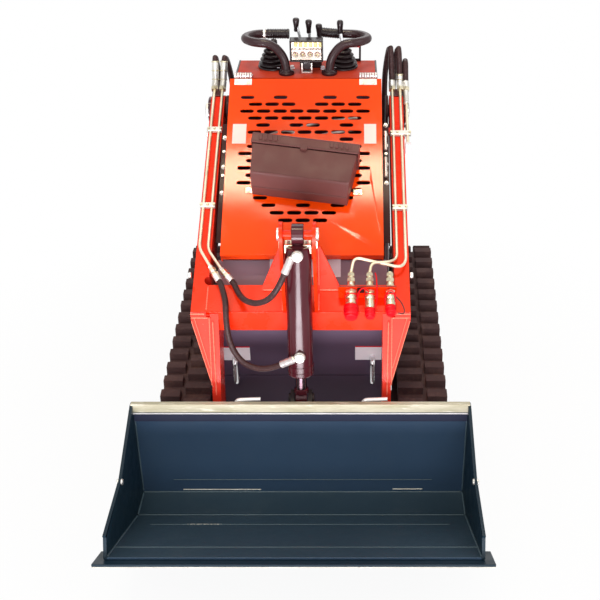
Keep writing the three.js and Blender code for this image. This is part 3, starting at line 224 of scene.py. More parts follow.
class Finish:
    """A material made of noise layers over one shader."""

    def __init__(self, name, color, roughness, metallic=0.0, coat=0.0, specular=0.5):
        self.material = bpy.data.materials.new(name)
        self.material.use_nodes = True
        tree = self.material.node_tree
        self.nodes, self.links = tree.nodes, tree.links
        self.shader = self.nodes["Principled BSDF"]
        self.shader.inputs["Base Color"].default_value = color
        self.shader.inputs["Roughness"].default_value = roughness
        self.shader.inputs["Metallic"].default_value = metallic
        self.shader.inputs["Coat Weight"].default_value = coat
        self.shader.inputs["Coat Roughness"].default_value = 0.08
        self.shader.inputs["Specular IOR Level"].default_value = specular
        self.place = self.nodes.new("ShaderNodeTexCoord").outputs["Object"]
        self.color, self.roughness, self.normal = color, roughness, None
        self.base = self.rough = None

    def stretched(self, scale):
        mapping = self.nodes.new("ShaderNodeMapping")
        mapping.inputs["Scale"].default_value = scale
        self.links.new(self.place, mapping.inputs["Vector"])
        return mapping.outputs["Vector"]

    def noise(self, scale, detail=4.0, rough=0.55, stretch=None, distort=0.0):
        node = self.nodes.new("ShaderNodeTexNoise")
        node.inputs["Scale"].default_value = scale
        node.inputs["Detail"].default_value = detail
        node.inputs["Roughness"].default_value = rough
        node.inputs["Distortion"].default_value = distort
        self.links.new(self.stretched(stretch) if stretch else self.place, node.inputs["Vector"])
        return node.outputs["Fac"]

    def ramp(self, value, low, high, flip=False):
        node = self.nodes.new("ShaderNodeMapRange")
        node.clamp = True
        node.inputs["From Min"].default_value = low
        node.inputs["From Max"].default_value = high
        node.inputs["To Min"].default_value = 1.0 if flip else 0.0
        node.inputs["To Max"].default_value = 0.0 if flip else 1.0
        self.links.new(value, node.inputs["Value"])
        return node.outputs["Result"]

    def times(self, a, b):
        node = self.nodes.new("ShaderNodeMath")
        node.operation = "MULTIPLY"
        self.links.new(a, node.inputs[0])
        if isinstance(b, float):
            node.inputs[1].default_value = b
        else:
            self.links.new(b, node.inputs[1])
        return node.outputs[0]

    def tint(self, mask, color):
        """Mixes a colour in where the mask is 1."""
        node = self.nodes.new("ShaderNodeMix")
        node.data_type = "RGBA"
        if self.base is None:
            node.inputs["A"].default_value = self.color
        else:
            self.links.new(self.base, node.inputs["A"])
        node.inputs["B"].default_value = color
        self.links.new(mask, node.inputs["Factor"])
        self.base = node.outputs["Result"]
        self.links.new(self.base, self.shader.inputs["Base Color"])

    def gloss(self, mask, roughness):
        """Mixes another roughness in where the mask is 1."""
        node = self.nodes.new("ShaderNodeMix")
        node.data_type = "FLOAT"
        if self.rough is None:
            node.inputs["A"].default_value = self.roughness
        else:
            self.links.new(self.rough, node.inputs["A"])
        node.inputs["B"].default_value = roughness
        self.links.new(mask, node.inputs["Factor"])
        self.rough = node.outputs["Result"]
        self.links.new(self.rough, self.shader.inputs["Roughness"])

    def bump(self, height, strength, distance):
        node = self.nodes.new("ShaderNodeBump")
        node.inputs["Strength"].default_value = strength
        node.inputs["Distance"].default_value = distance
        self.links.new(height, node.inputs["Height"])
        if self.normal is not None:
            self.links.new(self.normal, node.inputs["Normal"])
        self.normal = node.outputs["Normal"]
        self.links.new(self.normal, self.shader.inputs["Normal"])


def painted(name, color, shade, scuff, roughness=0.3, coat=0.1, wear=0.0, dust=None, specular=0.2):
    """Sprayed paint: cloudy colour, orange-peel gloss, hairline scuffs, and chips where it wears."""
    f = Finish(name, color, roughness, coat=coat, specular=specular)
    f.tint(f.times(f.ramp(f.noise(3.5, 5), 0.35, 0.75), 0.55), shade)
    if dust is not None:
        f.tint(f.times(f.ramp(f.noise(7.0, 8, 0.7), 0.52, 0.8), 0.35), dust)
    scratches = f.ramp(f.noise(60.0, 3, 0.6, stretch=(1, 9, 1), distort=0.6), 0.70, 0.76)
    patches = f.ramp(f.noise(5.0, 6, 0.65), 0.50, 0.66)
    marks = f.times(scratches, patches)
    f.tint(f.times(marks, 0.45), scuff)
    if wear:
        chips = f.ramp(f.noise(34.0, 9, 0.75), 0.74 - 0.1 * wear, 0.76 - 0.1 * wear)
        f.tint(f.times(f.times(chips, f.ramp(f.noise(4.0, 3), 0.45, 0.6)), 0.8), scuff)
    f.gloss(f.ramp(f.noise(18.0, 5), 0.4, 0.7), roughness + 0.14)
    f.gloss(marks, 0.6)
    f.bump(f.noise(420.0, 2), 0.10, 0.0006)
    return f.material


def metal(name, color, roughness, shade, grain=(1, 1, 1), spots=None, metallic=1.0):
    """Bare or plated metal with drawn grain and cloudy gloss."""
    f = Finish(name, color, roughness, metallic=metallic)
    f.tint(f.times(f.ramp(f.noise(9.0, 6, 0.6), 0.4, 0.7), 0.6), shade)
    if spots is not None:
        f.tint(f.times(f.ramp(f.noise(55.0, 8, 0.7), 0.58, 0.7), 0.7), spots)
    f.gloss(f.ramp(f.noise(26.0, 6), 0.35, 0.7), min(1.0, roughness + 0.2))
    f.bump(f.noise(160.0, 4, 0.6, stretch=grain), 0.12, 0.0005)
    return f.material


def moulded(name, color, shade, roughness, grain=260.0, coat=0.0, dust=None, depth=0.0006, patches=6.0):
    """Rubber or plastic: fine grain, cloudy gloss, and dust where it settles."""
    f = Finish(name, color, roughness, coat=coat, specular=0.25)
    f.tint(f.times(f.ramp(f.noise(patches, 5), 0.4, 0.7), 0.6), shade)
    if dust is not None:
        f.tint(f.times(f.ramp(f.noise(14.0, 9, 0.72), 0.5, 0.72), 0.5), dust)
    f.gloss(f.ramp(f.noise(20.0, 5), 0.35, 0.7), min(1.0, roughness + 0.15))
    f.bump(f.noise(grain, 3), 0.2, depth)
    return f.material


def hood_paint():
    """The hood's orange, a little darker in broad cloudy patches, with fine paler scratches."""
    f = Finish("hood_orange", tone(255, 73, 0), 0.07, coat=0.0, specular=0.2)
    f.tint(f.times(f.ramp(f.noise(2.6, 4), 0.35, 0.75), 0.5), tone(250, 66, 2))
    f.tint(f.times(f.ramp(f.noise(60.0, 3, stretch=(1, 8, 1), distort=0.5), 0.72, 0.77), 0.25),
           tone(255, 150, 110))
    f.gloss(f.ramp(f.noise(14.0, 5), 0.5, 0.8), 0.14)
    f.bump(f.noise(420.0, 2), 0.03, 0.0003)
    return f.material


def rim_steel():
    """Pale bare steel rubbed along its length, olive where it has dulled, with a few brown specks."""
    f = Finish("rim_steel", tone(192, 187, 164), 0.32, metallic=0.2, specular=0.3)
    f.tint(f.times(f.ramp(f.noise(7.0, 6, 0.62, stretch=(1, 5, 5)), 0.42, 0.7), 0.8), tone(156, 150, 116))
    f.tint(f.times(f.ramp(f.noise(30.0, 5, 0.6, stretch=(0.4, 3, 3)), 0.56, 0.68), 0.7), tone(238, 236, 220))
    f.tint(f.times(f.ramp(f.noise(70.0, 6, 0.7, stretch=(0.6, 2, 2)), 0.66, 0.74), 0.6), tone(120, 104, 76))
    f.gloss(f.ramp(f.noise(26.0, 6), 0.35, 0.7), 0.5)
    f.bump(f.noise(160.0, 4, 0.6, stretch=(1, 12, 12)), 0.15, 0.0005)
    return f.material


def hose_rubber():
    """A dark wrapped hose cover, with fine paler mottling: painted highlight specks on the wrap's ridges."""
    f = Finish("hose_cover_painted_highlights", tone(58, 32, 32), 0.36, specular=0.3)
    f.tint(f.times(f.ramp(f.noise(12.0, 4), 0.4, 0.7), 0.6), tone(38, 20, 22))
    f.tint(f.times(f.ramp(f.noise(150.0, 4, 0.6), 0.5, 0.7), 0.4), tone(104, 76, 72))
    f.gloss(f.ramp(f.noise(90.0, 4), 0.4, 0.6), 0.55)
    f.bump(f.noise(210.0, 3, 0.6), 0.5, 0.0016)
    return f.material


ORANGE = painted("arm_orange", tone(250, 50, 4), tone(238, 42, 8), tone(255, 150, 120), 0.26, 0.0, 0.25)
# A lighter, pinker copy of the arm orange for the legs' front faces: painted light.
LIT_LEG_ORANGE = painted("leg_orange_painted_light", tone(246, 60, 40), tone(236, 50, 34), tone(255, 190, 170), 0.34, 0.1, 0.3)
HOOD_ORANGE = hood_paint()
CONSOLE_ORANGE = painted("console_orange", tone(214, 70, 44), tone(186, 50, 32), tone(250, 150, 125), 0.4,
                         0.0, specular=0.08)
BUCKET = painted("bucket_slate", tone(46, 64, 78), tone(38, 54, 66), tone(104, 122, 130), 0.36, 0.1, 0.5,
                 dust=tone(66, 82, 90), specular=0.3)
# A lighter, bluer copy of the slate for the faces turned to the front: painted light.
LIT_BUCKET_BACK = painted("bucket_back_painted_light", tone(54, 76, 100), tone(46, 66, 88), tone(104, 122, 134), 0.36, 0.05,
                      0.4, dust=tone(68, 86, 102))
# A darker purple slate for the fold under the rim: painted shade under the lip.
SHADED_LIP = painted("bucket_lip_painted_shade", tone(50, 54, 74), tone(42, 46, 64), tone(104, 110, 124), 0.4, 0.05, 0.4)
# A darker copy of the slate for the cheeks, the cutting edge and the cheeks' edge strips: painted shade.
SHADED_SLATE = painted("bucket_cheek", tone(18, 38, 50), tone(12, 28, 40), tone(84, 100, 108), 0.36, 0.05, 0.4,
                dust=tone(40, 58, 66))
# Dark grey paint written plum: the purple tint is a painted colour cast of the light.
PLUM_PAINTED_CAST = painted("panel_plum_painted_cast", tone(92, 74, 94), tone(82, 66, 86), tone(120, 108, 122), 0.4, 0.05, 0.2)
GREY = painted("nose_grey", tone(152, 126, 138), tone(138, 114, 126), tone(176, 160, 168), 0.42, 0.05)
# Black paint written maroon: the red tint is a painted reflection of the red body.
BLACK_RED_REFLECTION = painted("gloss_black_painted_red_reflection", tone(64, 18, 26), tone(82, 30, 38), tone(130, 104, 104), 0.13, 0.1,
                specular=0.28)
FRAME_BLACK = painted("frame_black", tone(38, 30, 31), tone(28, 22, 23), tone(96, 84, 82), 0.4, 0.05, 0.3,
                      dust=tone(82, 70, 66))
BARE = metal("bare_edge", tone(214, 212, 200), 0.34, tone(160, 154, 140), grain=(1, 14, 14),
             spots=tone(118, 96, 70), metallic=0.5)
RIM_STEEL = rim_steel()
ZINC = metal("zinc_pale", tone(226, 216, 188), 0.24, tone(176, 160, 122), grain=(6, 6, 1))
CHROME = metal("chrome", tone(240, 240, 242), 0.1, tone(222, 222, 226), metallic=0.7)
SILVER = metal("fastener_silver", tone(226, 224, 218), 0.25, tone(176, 170, 160), metallic=0.8)
LATCH_STEEL = metal("latch_steel", tone(240, 238, 238), 0.3, tone(216, 212, 212), metallic=0.4)
HOSE_PAINTED_HIGHLIGHT = hose_rubber()
# Chrome written dark and pinkish: a painted dark reflection of the surroundings.
DARK_REFLECTION_ROD_CHROME = metal("rod_chrome_painted_dark_reflection", tone(112, 92, 100), 0.13, tone(88, 70, 78))
TRACK = moulded("track_rubber", tone(76, 54, 54), tone(54, 38, 39), 0.7, 120.0, dust=tone(118, 88, 80),
                depth=0.0015)
GRIP = moulded("grip_rubber", tone(54, 30, 33), tone(40, 22, 25), 0.18, 600.0, coat=0.2, depth=0.0002)
KNOB = moulded("knob_black", tone(38, 24, 26), tone(28, 18, 20), 0.24, 300.0, coat=0.2)
BOX = moulded("box_plastic", tone(104, 62, 58), tone(90, 52, 50), 0.4, 240.0, depth=0.0004)
CAP = moulded("cap_red", tone(236, 0, 22), tone(214, 0, 18), 0.4, 200.0)
LABEL_RED = moulded("label_red", tone(226, 40, 58), tone(206, 26, 44), 0.45, 300.0, depth=0.0001)
SLEEVE = metal("sleeve_steel", tone(206, 198, 196), 0.3, tone(168, 158, 158), metallic=0.7)
LINE_STEEL = metal("line_steel", tone(240, 232, 206), 0.3, tone(206, 190, 156), grain=(5, 5, 1), metallic=0.8)
UNDER = painted("under_brown", tone(62, 30, 30), tone(46, 22, 24), tone(110, 74, 70), 0.45, 0.05, 0.3,
                dust=tone(86, 54, 50), specular=0.12)
LABEL = moulded("label_white", tone(252, 246, 252), tone(240, 234, 240), 0.45, 300.0, depth=0.0001)
HOOD_LABEL = moulded("hood_label", tone(240, 222, 212), tone(226, 206, 196), 0.45, 300.0, depth=0.0001)
# A paler orange for weld beads and edge lines: painted highlight on their ridges.
WELD_ORANGE_HIGHLIGHT = painted("weld_orange_painted_highlight", tone(255, 128, 104), tone(246, 90, 64), tone(255, 200, 180), 0.3, 0.1)
# A paler slate for the bucket's weld beads: painted highlight on their ridges.
WELD_SLATE_HIGHLIGHT = painted("weld_slate_painted_highlight", tone(84, 102, 112), tone(60, 78, 86), tone(130, 146, 150), 0.36, 0.1)


# ------------------------------------------------------------------ ways of making pieces

def clear():
    if bpy.context.object and bpy.context.object.mode != "OBJECT":
        bpy.ops.object.mode_set(mode="OBJECT")
    bpy.ops.object.select_all(action="DESELECT")


def choose(*objects):
    clear()
    for obj in objects:
        obj.select_set(True)
    bpy.context.view_layer.objects.active = objects[0]


def mm(point):
    return Vector(point) * MM


def settle(obj, name, material, sharp=35.0, smooth=True, flat_faces=True):
    """Applies the object's place, names it, gives it its finish and smooths it by angle."""
    choose(obj)
    bpy.ops.object.transform_apply(location=True, rotation=True, scale=True)
    obj.name = obj.data.name = name
    obj.data.materials.clear()
    obj.data.materials.append(material)
    if smooth:
        bpy.ops.object.shade_smooth_by_angle(angle=math.radians(sharp))
    if smooth and flat_faces:
        # Large faces stay flat to the eye, and only their rounded edges shade round.
        weighted = obj.modifiers.new("flats", "WEIGHTED_NORMAL")
        weighted.keep_sharp = True
        bpy.ops.object.modifier_apply(modifier="flats")
    return obj


def rounded_off(obj, width, segments=2, angle=30.0):
    """A real bevel on every edge sharper than the angle."""
    if width <= 0:
        return obj
    choose(obj)
    bevel = obj.modifiers.new("edges", "BEVEL")
    bevel.width = width * MM
    bevel.segments = segments
    bevel.limit_method = "ANGLE"
    bevel.angle_limit = math.radians(angle)
    bevel.use_clamp_overlap = True
    bevel.harden_normals = False
    bpy.ops.object.modifier_apply(modifier="edges")
    return obj


def block(name, low, high, material, bevel=1.5, axes=None, pivot=(0, 0, 0)):
    """A plate or bar between two corners, its edges rounded; axes turns it about the pivot."""
    clear()
    low, high = mm(low), mm(high)
    bpy.ops.mesh.primitive_cube_add(size=1, location=(low + high) / 2)
    obj = bpy.context.object
    obj.scale = [abs(b - a) for a, b in zip(low, high)]
    choose(obj)
    bpy.ops.object.transform_apply(location=True, rotation=True, scale=True)
    if axes is not None:
        obj.matrix_world = Matrix.Translation(mm(pivot)) @ axes @ Matrix.Translation(-mm(pivot))
        choose(obj)
        bpy.ops.object.transform_apply(location=True, rotation=True, scale=True)
    rounded_off(obj, bevel)
    return settle(obj, name, material)


def facing(direction):
    """Turns +Z to a direction."""
    return Vector(direction).to_track_quat("Z", "Y").to_matrix().to_4x4()


def turned(name, profile, at, direction, material, sides=32, sharp=35.0):
    """A turned piece: a filled circle extruded and scaled ring by ring, [radius, height] in mm."""
    clear()
    first = profile[0]
    bpy.ops.mesh.primitive_circle_add(vertices=sides, radius=first[0] * MM, fill_type="NGON",
                                      location=(0, 0, first[1] * MM))
    obj = bpy.context.object
    bpy.ops.object.transform_apply(location=True, rotation=True, scale=True)
    bpy.ops.object.mode_set(mode="EDIT")
    bpy.ops.mesh.select_all(action="SELECT")
    radius, height = first
    for next_radius, next_height in profile[1:]:
        bpy.ops.mesh.extrude_region_move(TRANSFORM_OT_translate={"value": (0, 0,
            (next_height - height) * MM)})
        grow = next_radius / radius
        bpy.ops.transform.resize(value=(grow, grow, 1), center_override=(0, 0, next_height * MM))
        radius, height = next_radius, next_height
    bpy.ops.mesh.select_all(action="SELECT")
    bpy.ops.mesh.normals_make_consistent(inside=False)
    bpy.ops.object.mode_set(mode="OBJECT")
    obj.matrix_world = Matrix.Translation(mm(at)) @ facing(direction)
    return settle(obj, name, material, sharp)


def rod(name, a, b, radius, material, sides=32, edge=1.0):
    """A round bar with eased ends."""
    a, b = Vector(a), Vector(b)
    length = (b - a).length
    e = min(edge, radius * 0.4, length * 0.3)
    profile = [(radius - e, 0), (radius, e), (radius, length - e), (radius - e, length)]
    return turned(name, profile, a, b - a, material, sides)


def rounded_route(points, radius, chords=6):
    """A polyline whose corners are rounded off."""
    at = [Vector(p) for p in points]
    out = [at[0]]
    for i in range(1, len(at) - 1):
        back, on = at[i - 1] - at[i], at[i + 1] - at[i]
        reach = min(radius, back.length / 2.05, on.length / 2.05)
        start, end = at[i] + back.normalized() * reach, at[i] + on.normalized() * reach
        for k in range(chords + 1):
            t = k / chords
            out.append(start * (1 - t) ** 2 + at[i] * 2 * t * (1 - t) + end * t * t)
    out.append(at[-1])
    return out


def pipe(name, points, radius, material, sides=16, radii=None, sharp=40.0):
    """A tube along a list of points in mm, with closed ends."""
    clear()
    bpy.ops.curve.primitive_nurbs_path_add()
    obj = bpy.context.object
    curve = obj.data
    curve.splines.clear()
    spline = curve.splines.new("POLY")
    spline.points.add(len(points) - 1)
    for i, point in enumerate(points):
        spline.points[i].co = (*mm(point), 1)
        spline.points[i].radius = 1.0 if radii is None else radii[i]
    curve.dimensions = "3D"
    curve.bevel_depth = radius * MM
    curve.bevel_resolution = max(0, sides // 4 - 1)
    curve.use_fill_caps = True
    curve.twist_mode = "MINIMUM"
    choose(obj)
    bpy.ops.object.convert(target="MESH")
    obj = bpy.context.object
    bpy.ops.object.mode_set(mode="EDIT")
    bpy.ops.mesh.select_all(action="SELECT")
    bpy.ops.mesh.remove_doubles(threshold=0.00001)
    bpy.ops.mesh.normals_make_consistent(inside=False)
    bpy.ops.object.mode_set(mode="OBJECT")
    return settle(obj, name, material, sharp, flat_faces=False)


def joined(name, *objects):
    choose(*objects)
    if len(objects) > 1:
        bpy.ops.object.join()
    obj = bpy.context.object
    obj.name = obj.data.name = name
    return obj


def ride(obj, body, *nodes, slot=None):
    """The piece moves with a body, and stands for CAD nodes if any are named."""
    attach(obj, body)
    if nodes:
        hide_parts(*nodes)
    return obj


def round_slots(obj, across, reach, width):
    """Rounds the short upright edges of a thin sheet's slots."""
    mesh = obj.data
    for part in (mesh.vertices, mesh.edges, mesh.polygons):
        part.foreach_set("select", [False] * len(part))
    for edge in mesh.edges:
        a, b = (mesh.vertices[i].co for i in edge.vertices)
        run = b - a
        if run.length < reach * MM and abs(run.normalized().dot(across)) > 0.99:
            edge.select = True
            a_point, b_point = (mesh.vertices[i] for i in edge.vertices)
            a_point.select = b_point.select = True
    choose(obj)
    bpy.context.tool_settings.mesh_select_mode = (False, True, False)
    bpy.ops.object.mode_set(mode="EDIT")
    bpy.ops.mesh.bevel(offset=width * MM, segments=4, affect="EDGES", clamp_overlap=True)
    bpy.ops.object.mode_set(mode="OBJECT")
    bpy.context.tool_settings.mesh_select_mode = (True, False, False)


def dressed(node, material, bevel=1.2, segments=2, slot=None, name=None, angle=30.0, slots=None):
    """A copy of a CAD node with merged points, flat faces made whole and its edges rounded."""
    clear()
    source = frame["nodes"][node]
    obj = source.copy()
    obj.data = source.data.copy()
    obj.parent = None
    obj.matrix_world = Matrix.Identity(4)
    for key in list(obj.keys()):
        del obj[key]
    bpy.context.collection.objects.link(obj)
    choose(obj)
    bpy.ops.object.mode_set(mode="EDIT")
    bpy.ops.mesh.select_all(action="SELECT")
    bpy.ops.mesh.remove_doubles(threshold=0.000002)
    bpy.ops.mesh.dissolve_limited(angle_limit=math.radians(0.6))
    bpy.ops.object.mode_set(mode="OBJECT")
    if slots:
        round_slots(obj, *slots)
    rounded_off(obj, bevel, segments, angle)
    settle(obj, name or f"{node}_skin", material)
    ride(obj, BODY_OF[node], node, slot=slot)
    return obj


def copies(name, template, places):
    """Copies of a template, each with its own mesh, joined in one piece. Places are matrices."""
    made = []
    for place in places:
        obj = template.copy()
        obj.data = template.data.copy()
        bpy.context.collection.objects.link(obj)
        obj.matrix_world = place
        choose(obj)
        bpy.ops.object.transform_apply(location=True, rotation=True, scale=True)
        made.append(obj)
    return joined(name, *made)


def remove(*objects):
    for obj in objects:
        bpy.data.objects.remove(obj, do_unlink=True)


def stand(at, direction, turn=0.0):
    """A matrix that puts a template at a point, its +Z along a direction."""
    return Matrix.Translation(mm(at)) @ facing(direction) @ Matrix.Rotation(math.radians(turn), 4, "Z")


def weld(name, a, b, radius, material, pitch=3.4):
    """A rippled weld bead from a to b, in mm."""
    a, b = Vector(a), Vector(b)
    steps = max(4, int((b - a).length / pitch))
    points = [a.lerp(b, i / steps) for i in range(steps + 1)]
    radii = [0.82 + 0.3 * (i % 2) + 0.12 * math.sin(i * 1.7) for i in range(steps + 1)]
    radii[0] = radii[-1] = 0.5
    return pipe(name, points, radius, material, sides=8, radii=radii, sharp=60)


def smooth_route(points, steps):
    """Points along a centripetal curve through the given ones, evenly spaced."""
    stops = [Vector(p) for p in points]
    stops = [stops[0] * 2 - stops[1]] + stops + [stops[-1] * 2 - stops[-2]]
    fine = []
    for i in range(1, len(stops) - 2):
        p0, p1, p2, p3 = stops[i - 1:i + 3]
        t0 = 0.0
        t1 = t0 + (p1 - p0).length ** 0.5
        t2 = t1 + (p2 - p1).length ** 0.5
        t3 = t2 + (p3 - p2).length ** 0.5
        for k in range(24):
            t = t1 + (t2 - t1) * k / 24
            a1 = p0 * ((t1 - t) / (t1 - t0)) + p1 * ((t - t0) / (t1 - t0))
            a2 = p1 * ((t2 - t) / (t2 - t1)) + p2 * ((t - t1) / (t2 - t1))
            a3 = p2 * ((t3 - t) / (t3 - t2)) + p3 * ((t - t2) / (t3 - t2))
            b1 = a1 * ((t2 - t) / (t2 - t0)) + a2 * ((t - t0) / (t2 - t0))
            b2 = a2 * ((t3 - t) / (t3 - t1)) + a3 * ((t - t1) / (t3 - t1))
            fine.append(b1 * ((t2 - t) / (t2 - t1)) + b2 * ((t - t1) / (t2 - t1)))
    fine.append(stops[-2])
    lengths = [0.0]
    for a, b in zip(fine, fine[1:]):
        lengths.append(lengths[-1] + (b - a).length)
    out, j = [], 0
    for i in range(steps + 1):
        want = lengths[-1] * i / steps
        while j < len(lengths) - 2 and lengths[j + 1] < want:
            j += 1
        part = (want - lengths[j]) / max(1e-9, lengths[j + 1] - lengths[j])
        out.append(fine[j].lerp(fine[j + 1], min(1.0, part)))
    return out


TUBE_X = (290.5, 317.5)
TUBE_TOP = 420
NUT_REACH = 34.6
ARM_HOSE_R = 10
TILT_HOSE_R = 9
TUBE_R = 4.8
TUBE_UP = TUBE_R + 1
# The left lines end in sleeves: [x, distance up from the ledge] at the start and the end.
END_UP = 18
LINE_OUTER = ((-277, 148), (-247, 97.5))
LINE_INNER = ((-243, 140), (-208.6, 96.4))
BANJO_UPPER, BANJO_LOWER = 50, 366

# [name, x at the arm, x at the foot, peak height, peak's y, height of the line on the arm]
ARM_HOSES = (
    ("arm_hose_l1", -290.5, -272, 1134, 496, TUBE_UP),
    ("arm_hose_l2", -317.5, -316, 1134, 496, TUBE_UP),
    ("arm_hose_r1", 290.5, 270, 1168, 500, TUBE_UP),
    ("arm_hose_r2", 317.5, 300, 1165, 500, TUBE_UP),
    ("arm_hose_r3", 338, 334, 1120, 500, 4),
)


def arm_hose_stops(x, foot, peak, back, up):
    c, s = math.cos(ARM_SLOPE), math.sin(ARM_SLOPE)
    _, y, z = on_arm(x, TUBE_TOP, up)
    past = [(x, y + reach * c, z + reach * s) for reach in (NUT_REACH, 44)]
    return past + [
        ((2 * x + foot) / 3, back - 6, peak), (foot, 534, (2 * peak + 862) / 3), (foot, 537, 900),
        (foot, 537, 862.5),
    ]


def past_end(line, reach):
    """A point beyond a sleeve's end, in line with it."""
    start, end = (Vector(along_arm(*p, END_UP)) for p in line)
    return tuple(end + (end - start).normalized() * reach)


TILT_HOSES = {
    "tilt_hose_upper": [
        past_end(LINE_INNER, 0.6), past_end(LINE_INNER, 12), (-182, -330, 692), (-154, -388, 706),
        (-122, -420, 719), (-88, -436, 741), (-58, -446, 784), on_tilt(-18.5, BANJO_UPPER + 9, 42),
    ],
    "tilt_hose_lower": [
        past_end(LINE_OUTER, 0.6), past_end(LINE_OUTER, 12), (-229, -328, 695), (-220, -362, 683),
        (-218, -390, 640), (-211, -406, 581), (-196, -417, 542), (-168, -430, 512), (-131, -443, 503),
        (-97, -452, 509), (-60, -461, 528), on_tilt(-18.5, BANJO_LOWER + 8, 42),
    ],
}


# ------------------------------------------------------------------ more ways of making pieces

def plate(name, outline, x0, x1, material, bevel=1.0, sharp=35.0):
    """A flat plate: a filled ring of points moved to its side-view outline [y, z], extruded along X."""
    clear()
    bpy.ops.mesh.primitive_circle_add(vertices=len(outline), radius=0.1, fill_type="NGON")
    obj = bpy.context.object
    for vertex, (y, z) in zip(obj.data.vertices, outline):
        vertex.co = mm((x0, y, z))
    bpy.ops.object.mode_set(mode="EDIT")
    bpy.ops.mesh.select_all(action="SELECT")
    bpy.ops.mesh.extrude_region_move(TRANSFORM_OT_translate={"value": ((x1 - x0) * MM, 0, 0)})
    bpy.ops.mesh.select_all(action="SELECT")
    bpy.ops.mesh.normals_make_consistent(inside=False)
    bpy.ops.object.mode_set(mode="OBJECT")
    rounded_off(obj, bevel)
    return settle(obj, name, material, sharp)


def bolt(name, at, direction, across, material, washer=True, tall=0.62):
    """A hexagon head with a chamfered top on its washer; across is over the corners."""
    r = across / 2
    parts = []
    base = 0.0
    if washer:
        parts.append(turned(name + "_w", [(r * 1.25, -0.4), (r * 1.25, 0.9), (r * 1.15, 1.5)], at,
                            direction, material, 20))
        base = 1.5
    parts.append(turned(
        name + "_h", [(r, base - 0.3), (r, base + r * tall * 1.4), (r * 0.84, base + r * tall * 1.75)], at,
        direction, material, 6, 20,
    ))
    return joined(name, *parts)


def hexagon(name, a, b, across, material):
    """A hexagon nut or adaptor from a to b with eased corners."""
    a, b = Vector(a), Vector(b)
    long, r = (b - a).length, across / 2
    return turned(name, [(r * 0.88, 0), (r, 1.6), (r, long - 1.6), (r * 0.88, long)], a, b - a, material, 6,
                  20)


def ribbed(name, a, b, radius, material, ribs=5, depth=0.8, sides=24):
    """A crimped sleeve with rings round it."""
    a, b = Vector(a), Vector(b)
    long = (b - a).length
    profile = [(radius - 1.2, 0), (radius, 1.2)]
    for i in range(ribs):
        h = long * (0.18 + 0.7 * i / ribs)
        step = long * 0.7 / ribs
        profile += [(radius, h), (radius - depth, h + step * 0.2), (radius - depth, h + step * 0.45),
                    (radius, h + step * 0.65)]
    profile += [(radius, long - 1.2), (radius - 1.2, long)]
    return turned(name, profile, a, b - a, material, sides, 25)


# ------------------------------------------------------------------ tracks and undercarriage

SPROCKET = (440, 246)
IDLER = (-320, 195)
ROLLER_Z = 88
ROLLERS_Y = (-210, -106, -2, 102, 206, 310)


def wheel(name, center, x_mid, profile, material=FRAME_BLACK, sides=48):
    """A turned wheel across the track: profile of [radius, distance along X from its middle]."""
    return turned(name, [(r, h) for r, h in profile], (x_mid, center[0], center[1]), (1, 0, 0), material,
                  sides)


def undercarriage(side, s):
    nodes = f"undercarriage_{side}"
    mid = s * 377.5
    parts = []
    beam = plate(
        f"roller_frame_{side}",
        [(-270, 110), (-270, 165), (-235, 178), (330, 178), (400, 262), (480, 262), (480, 225), (372, 110)],
        s * 345, s * 410, FRAME_BLACK, 3.0,
    )
    parts.append(beam)
    parts.append(plate(
        f"idler_yoke_{side}", [(-345, 178), (-345, 212), (-225, 178), (-225, 120)], s * 357, s * 398,
        FRAME_BLACK, 2.5,
    ))
    parts.append(wheel(f"idler_{side}", IDLER, mid, [
        (82, -39.5), (89, -37), (90, -12), (78, -8), (78, 8), (90, 12), (89, 37), (82, 39.5),
        (72, 38), (66, 30), (40, 26), (34, 39), (28, 39.5),
    ]))
    for i, y in enumerate(ROLLERS_Y):
        parts.append(wheel(f"roller_{side}_{i + 1}", (y, ROLLER_Z), mid, [
            (22, -49.5), (42, -47), (48.5, -42), (48.5, -24), (36, -20), (36, 20), (48.5, 24), (48.5, 42),
            (42, 47), (22, 49.5),
        ], sides=36))
    parts.append(wheel(f"carrier_{side}", (60, 297), mid, [
        (18, -37.5), (22, -35), (22, -10), (19, -8), (19, 8), (22, 10), (22, 35), (18, 37.5),
    ], sides=28))
    parts.append(block(f"carrier_post_{side}", (s * 366, 48, 170), (s * 389, 72, 297), FRAME_BLACK, 2.0))
    teeth = []
    for i in range(13):
        for part, r in ((0, 98), (0.16, 109), (0.24, 110), (0.46, 110), (0.54, 109), (0.7, 98), (0.85, 96.5)):
            angle = 2 * math.pi * (i + part) / 13
            teeth.append((SPROCKET[0] + r * math.cos(angle), SPROCKET[1] + r * math.sin(angle)))
    parts.append(plate(f"sprocket_{side}", teeth, s * 366, s * 389, FRAME_BLACK, 1.2))
    parts.append(wheel(f"drive_motor_{side}", SPROCKET, s * 364, [
        (52, -60), (60, -56), (64, -40), (66, -36), (66, 36), (64, 40), (56, 50), (50, 58), (34, 60),
    ]))
    frame_piece = joined(f"undercarriage_{side}_dressed", *parts)
    ride(frame_piece, "chassis", nodes)

    head = bolt("hub_bolt", (0, 0, 0), (0, 0, 1), 15, SILVER)
    places = []
    for i in range(8):
        a = 2 * math.pi * (i + 0.5) / 8
        places.append(stand((s * 412, SPROCKET[0] + 57 * math.cos(a), SPROCKET[1] + 57 * math.sin(a)),
                            (s, 0, 0)))
    for y in ROLLERS_Y:
        places.append(stand((s * 424, y, ROLLER_Z), (s, 0, 0)))
    places.append(stand((s * 414, IDLER[0], IDLER[1]), (s, 0, 0)))
    ride(copies(f"undercarriage_bolts_{side}", head, places), "chassis")
    remove(head)


for side, s in SIDES:
    undercarriage(side, s)
    dressed(f"track_{side}", TRACK, 2.2, 2)


# ------------------------------------------------------------------ chassis, panels and deck

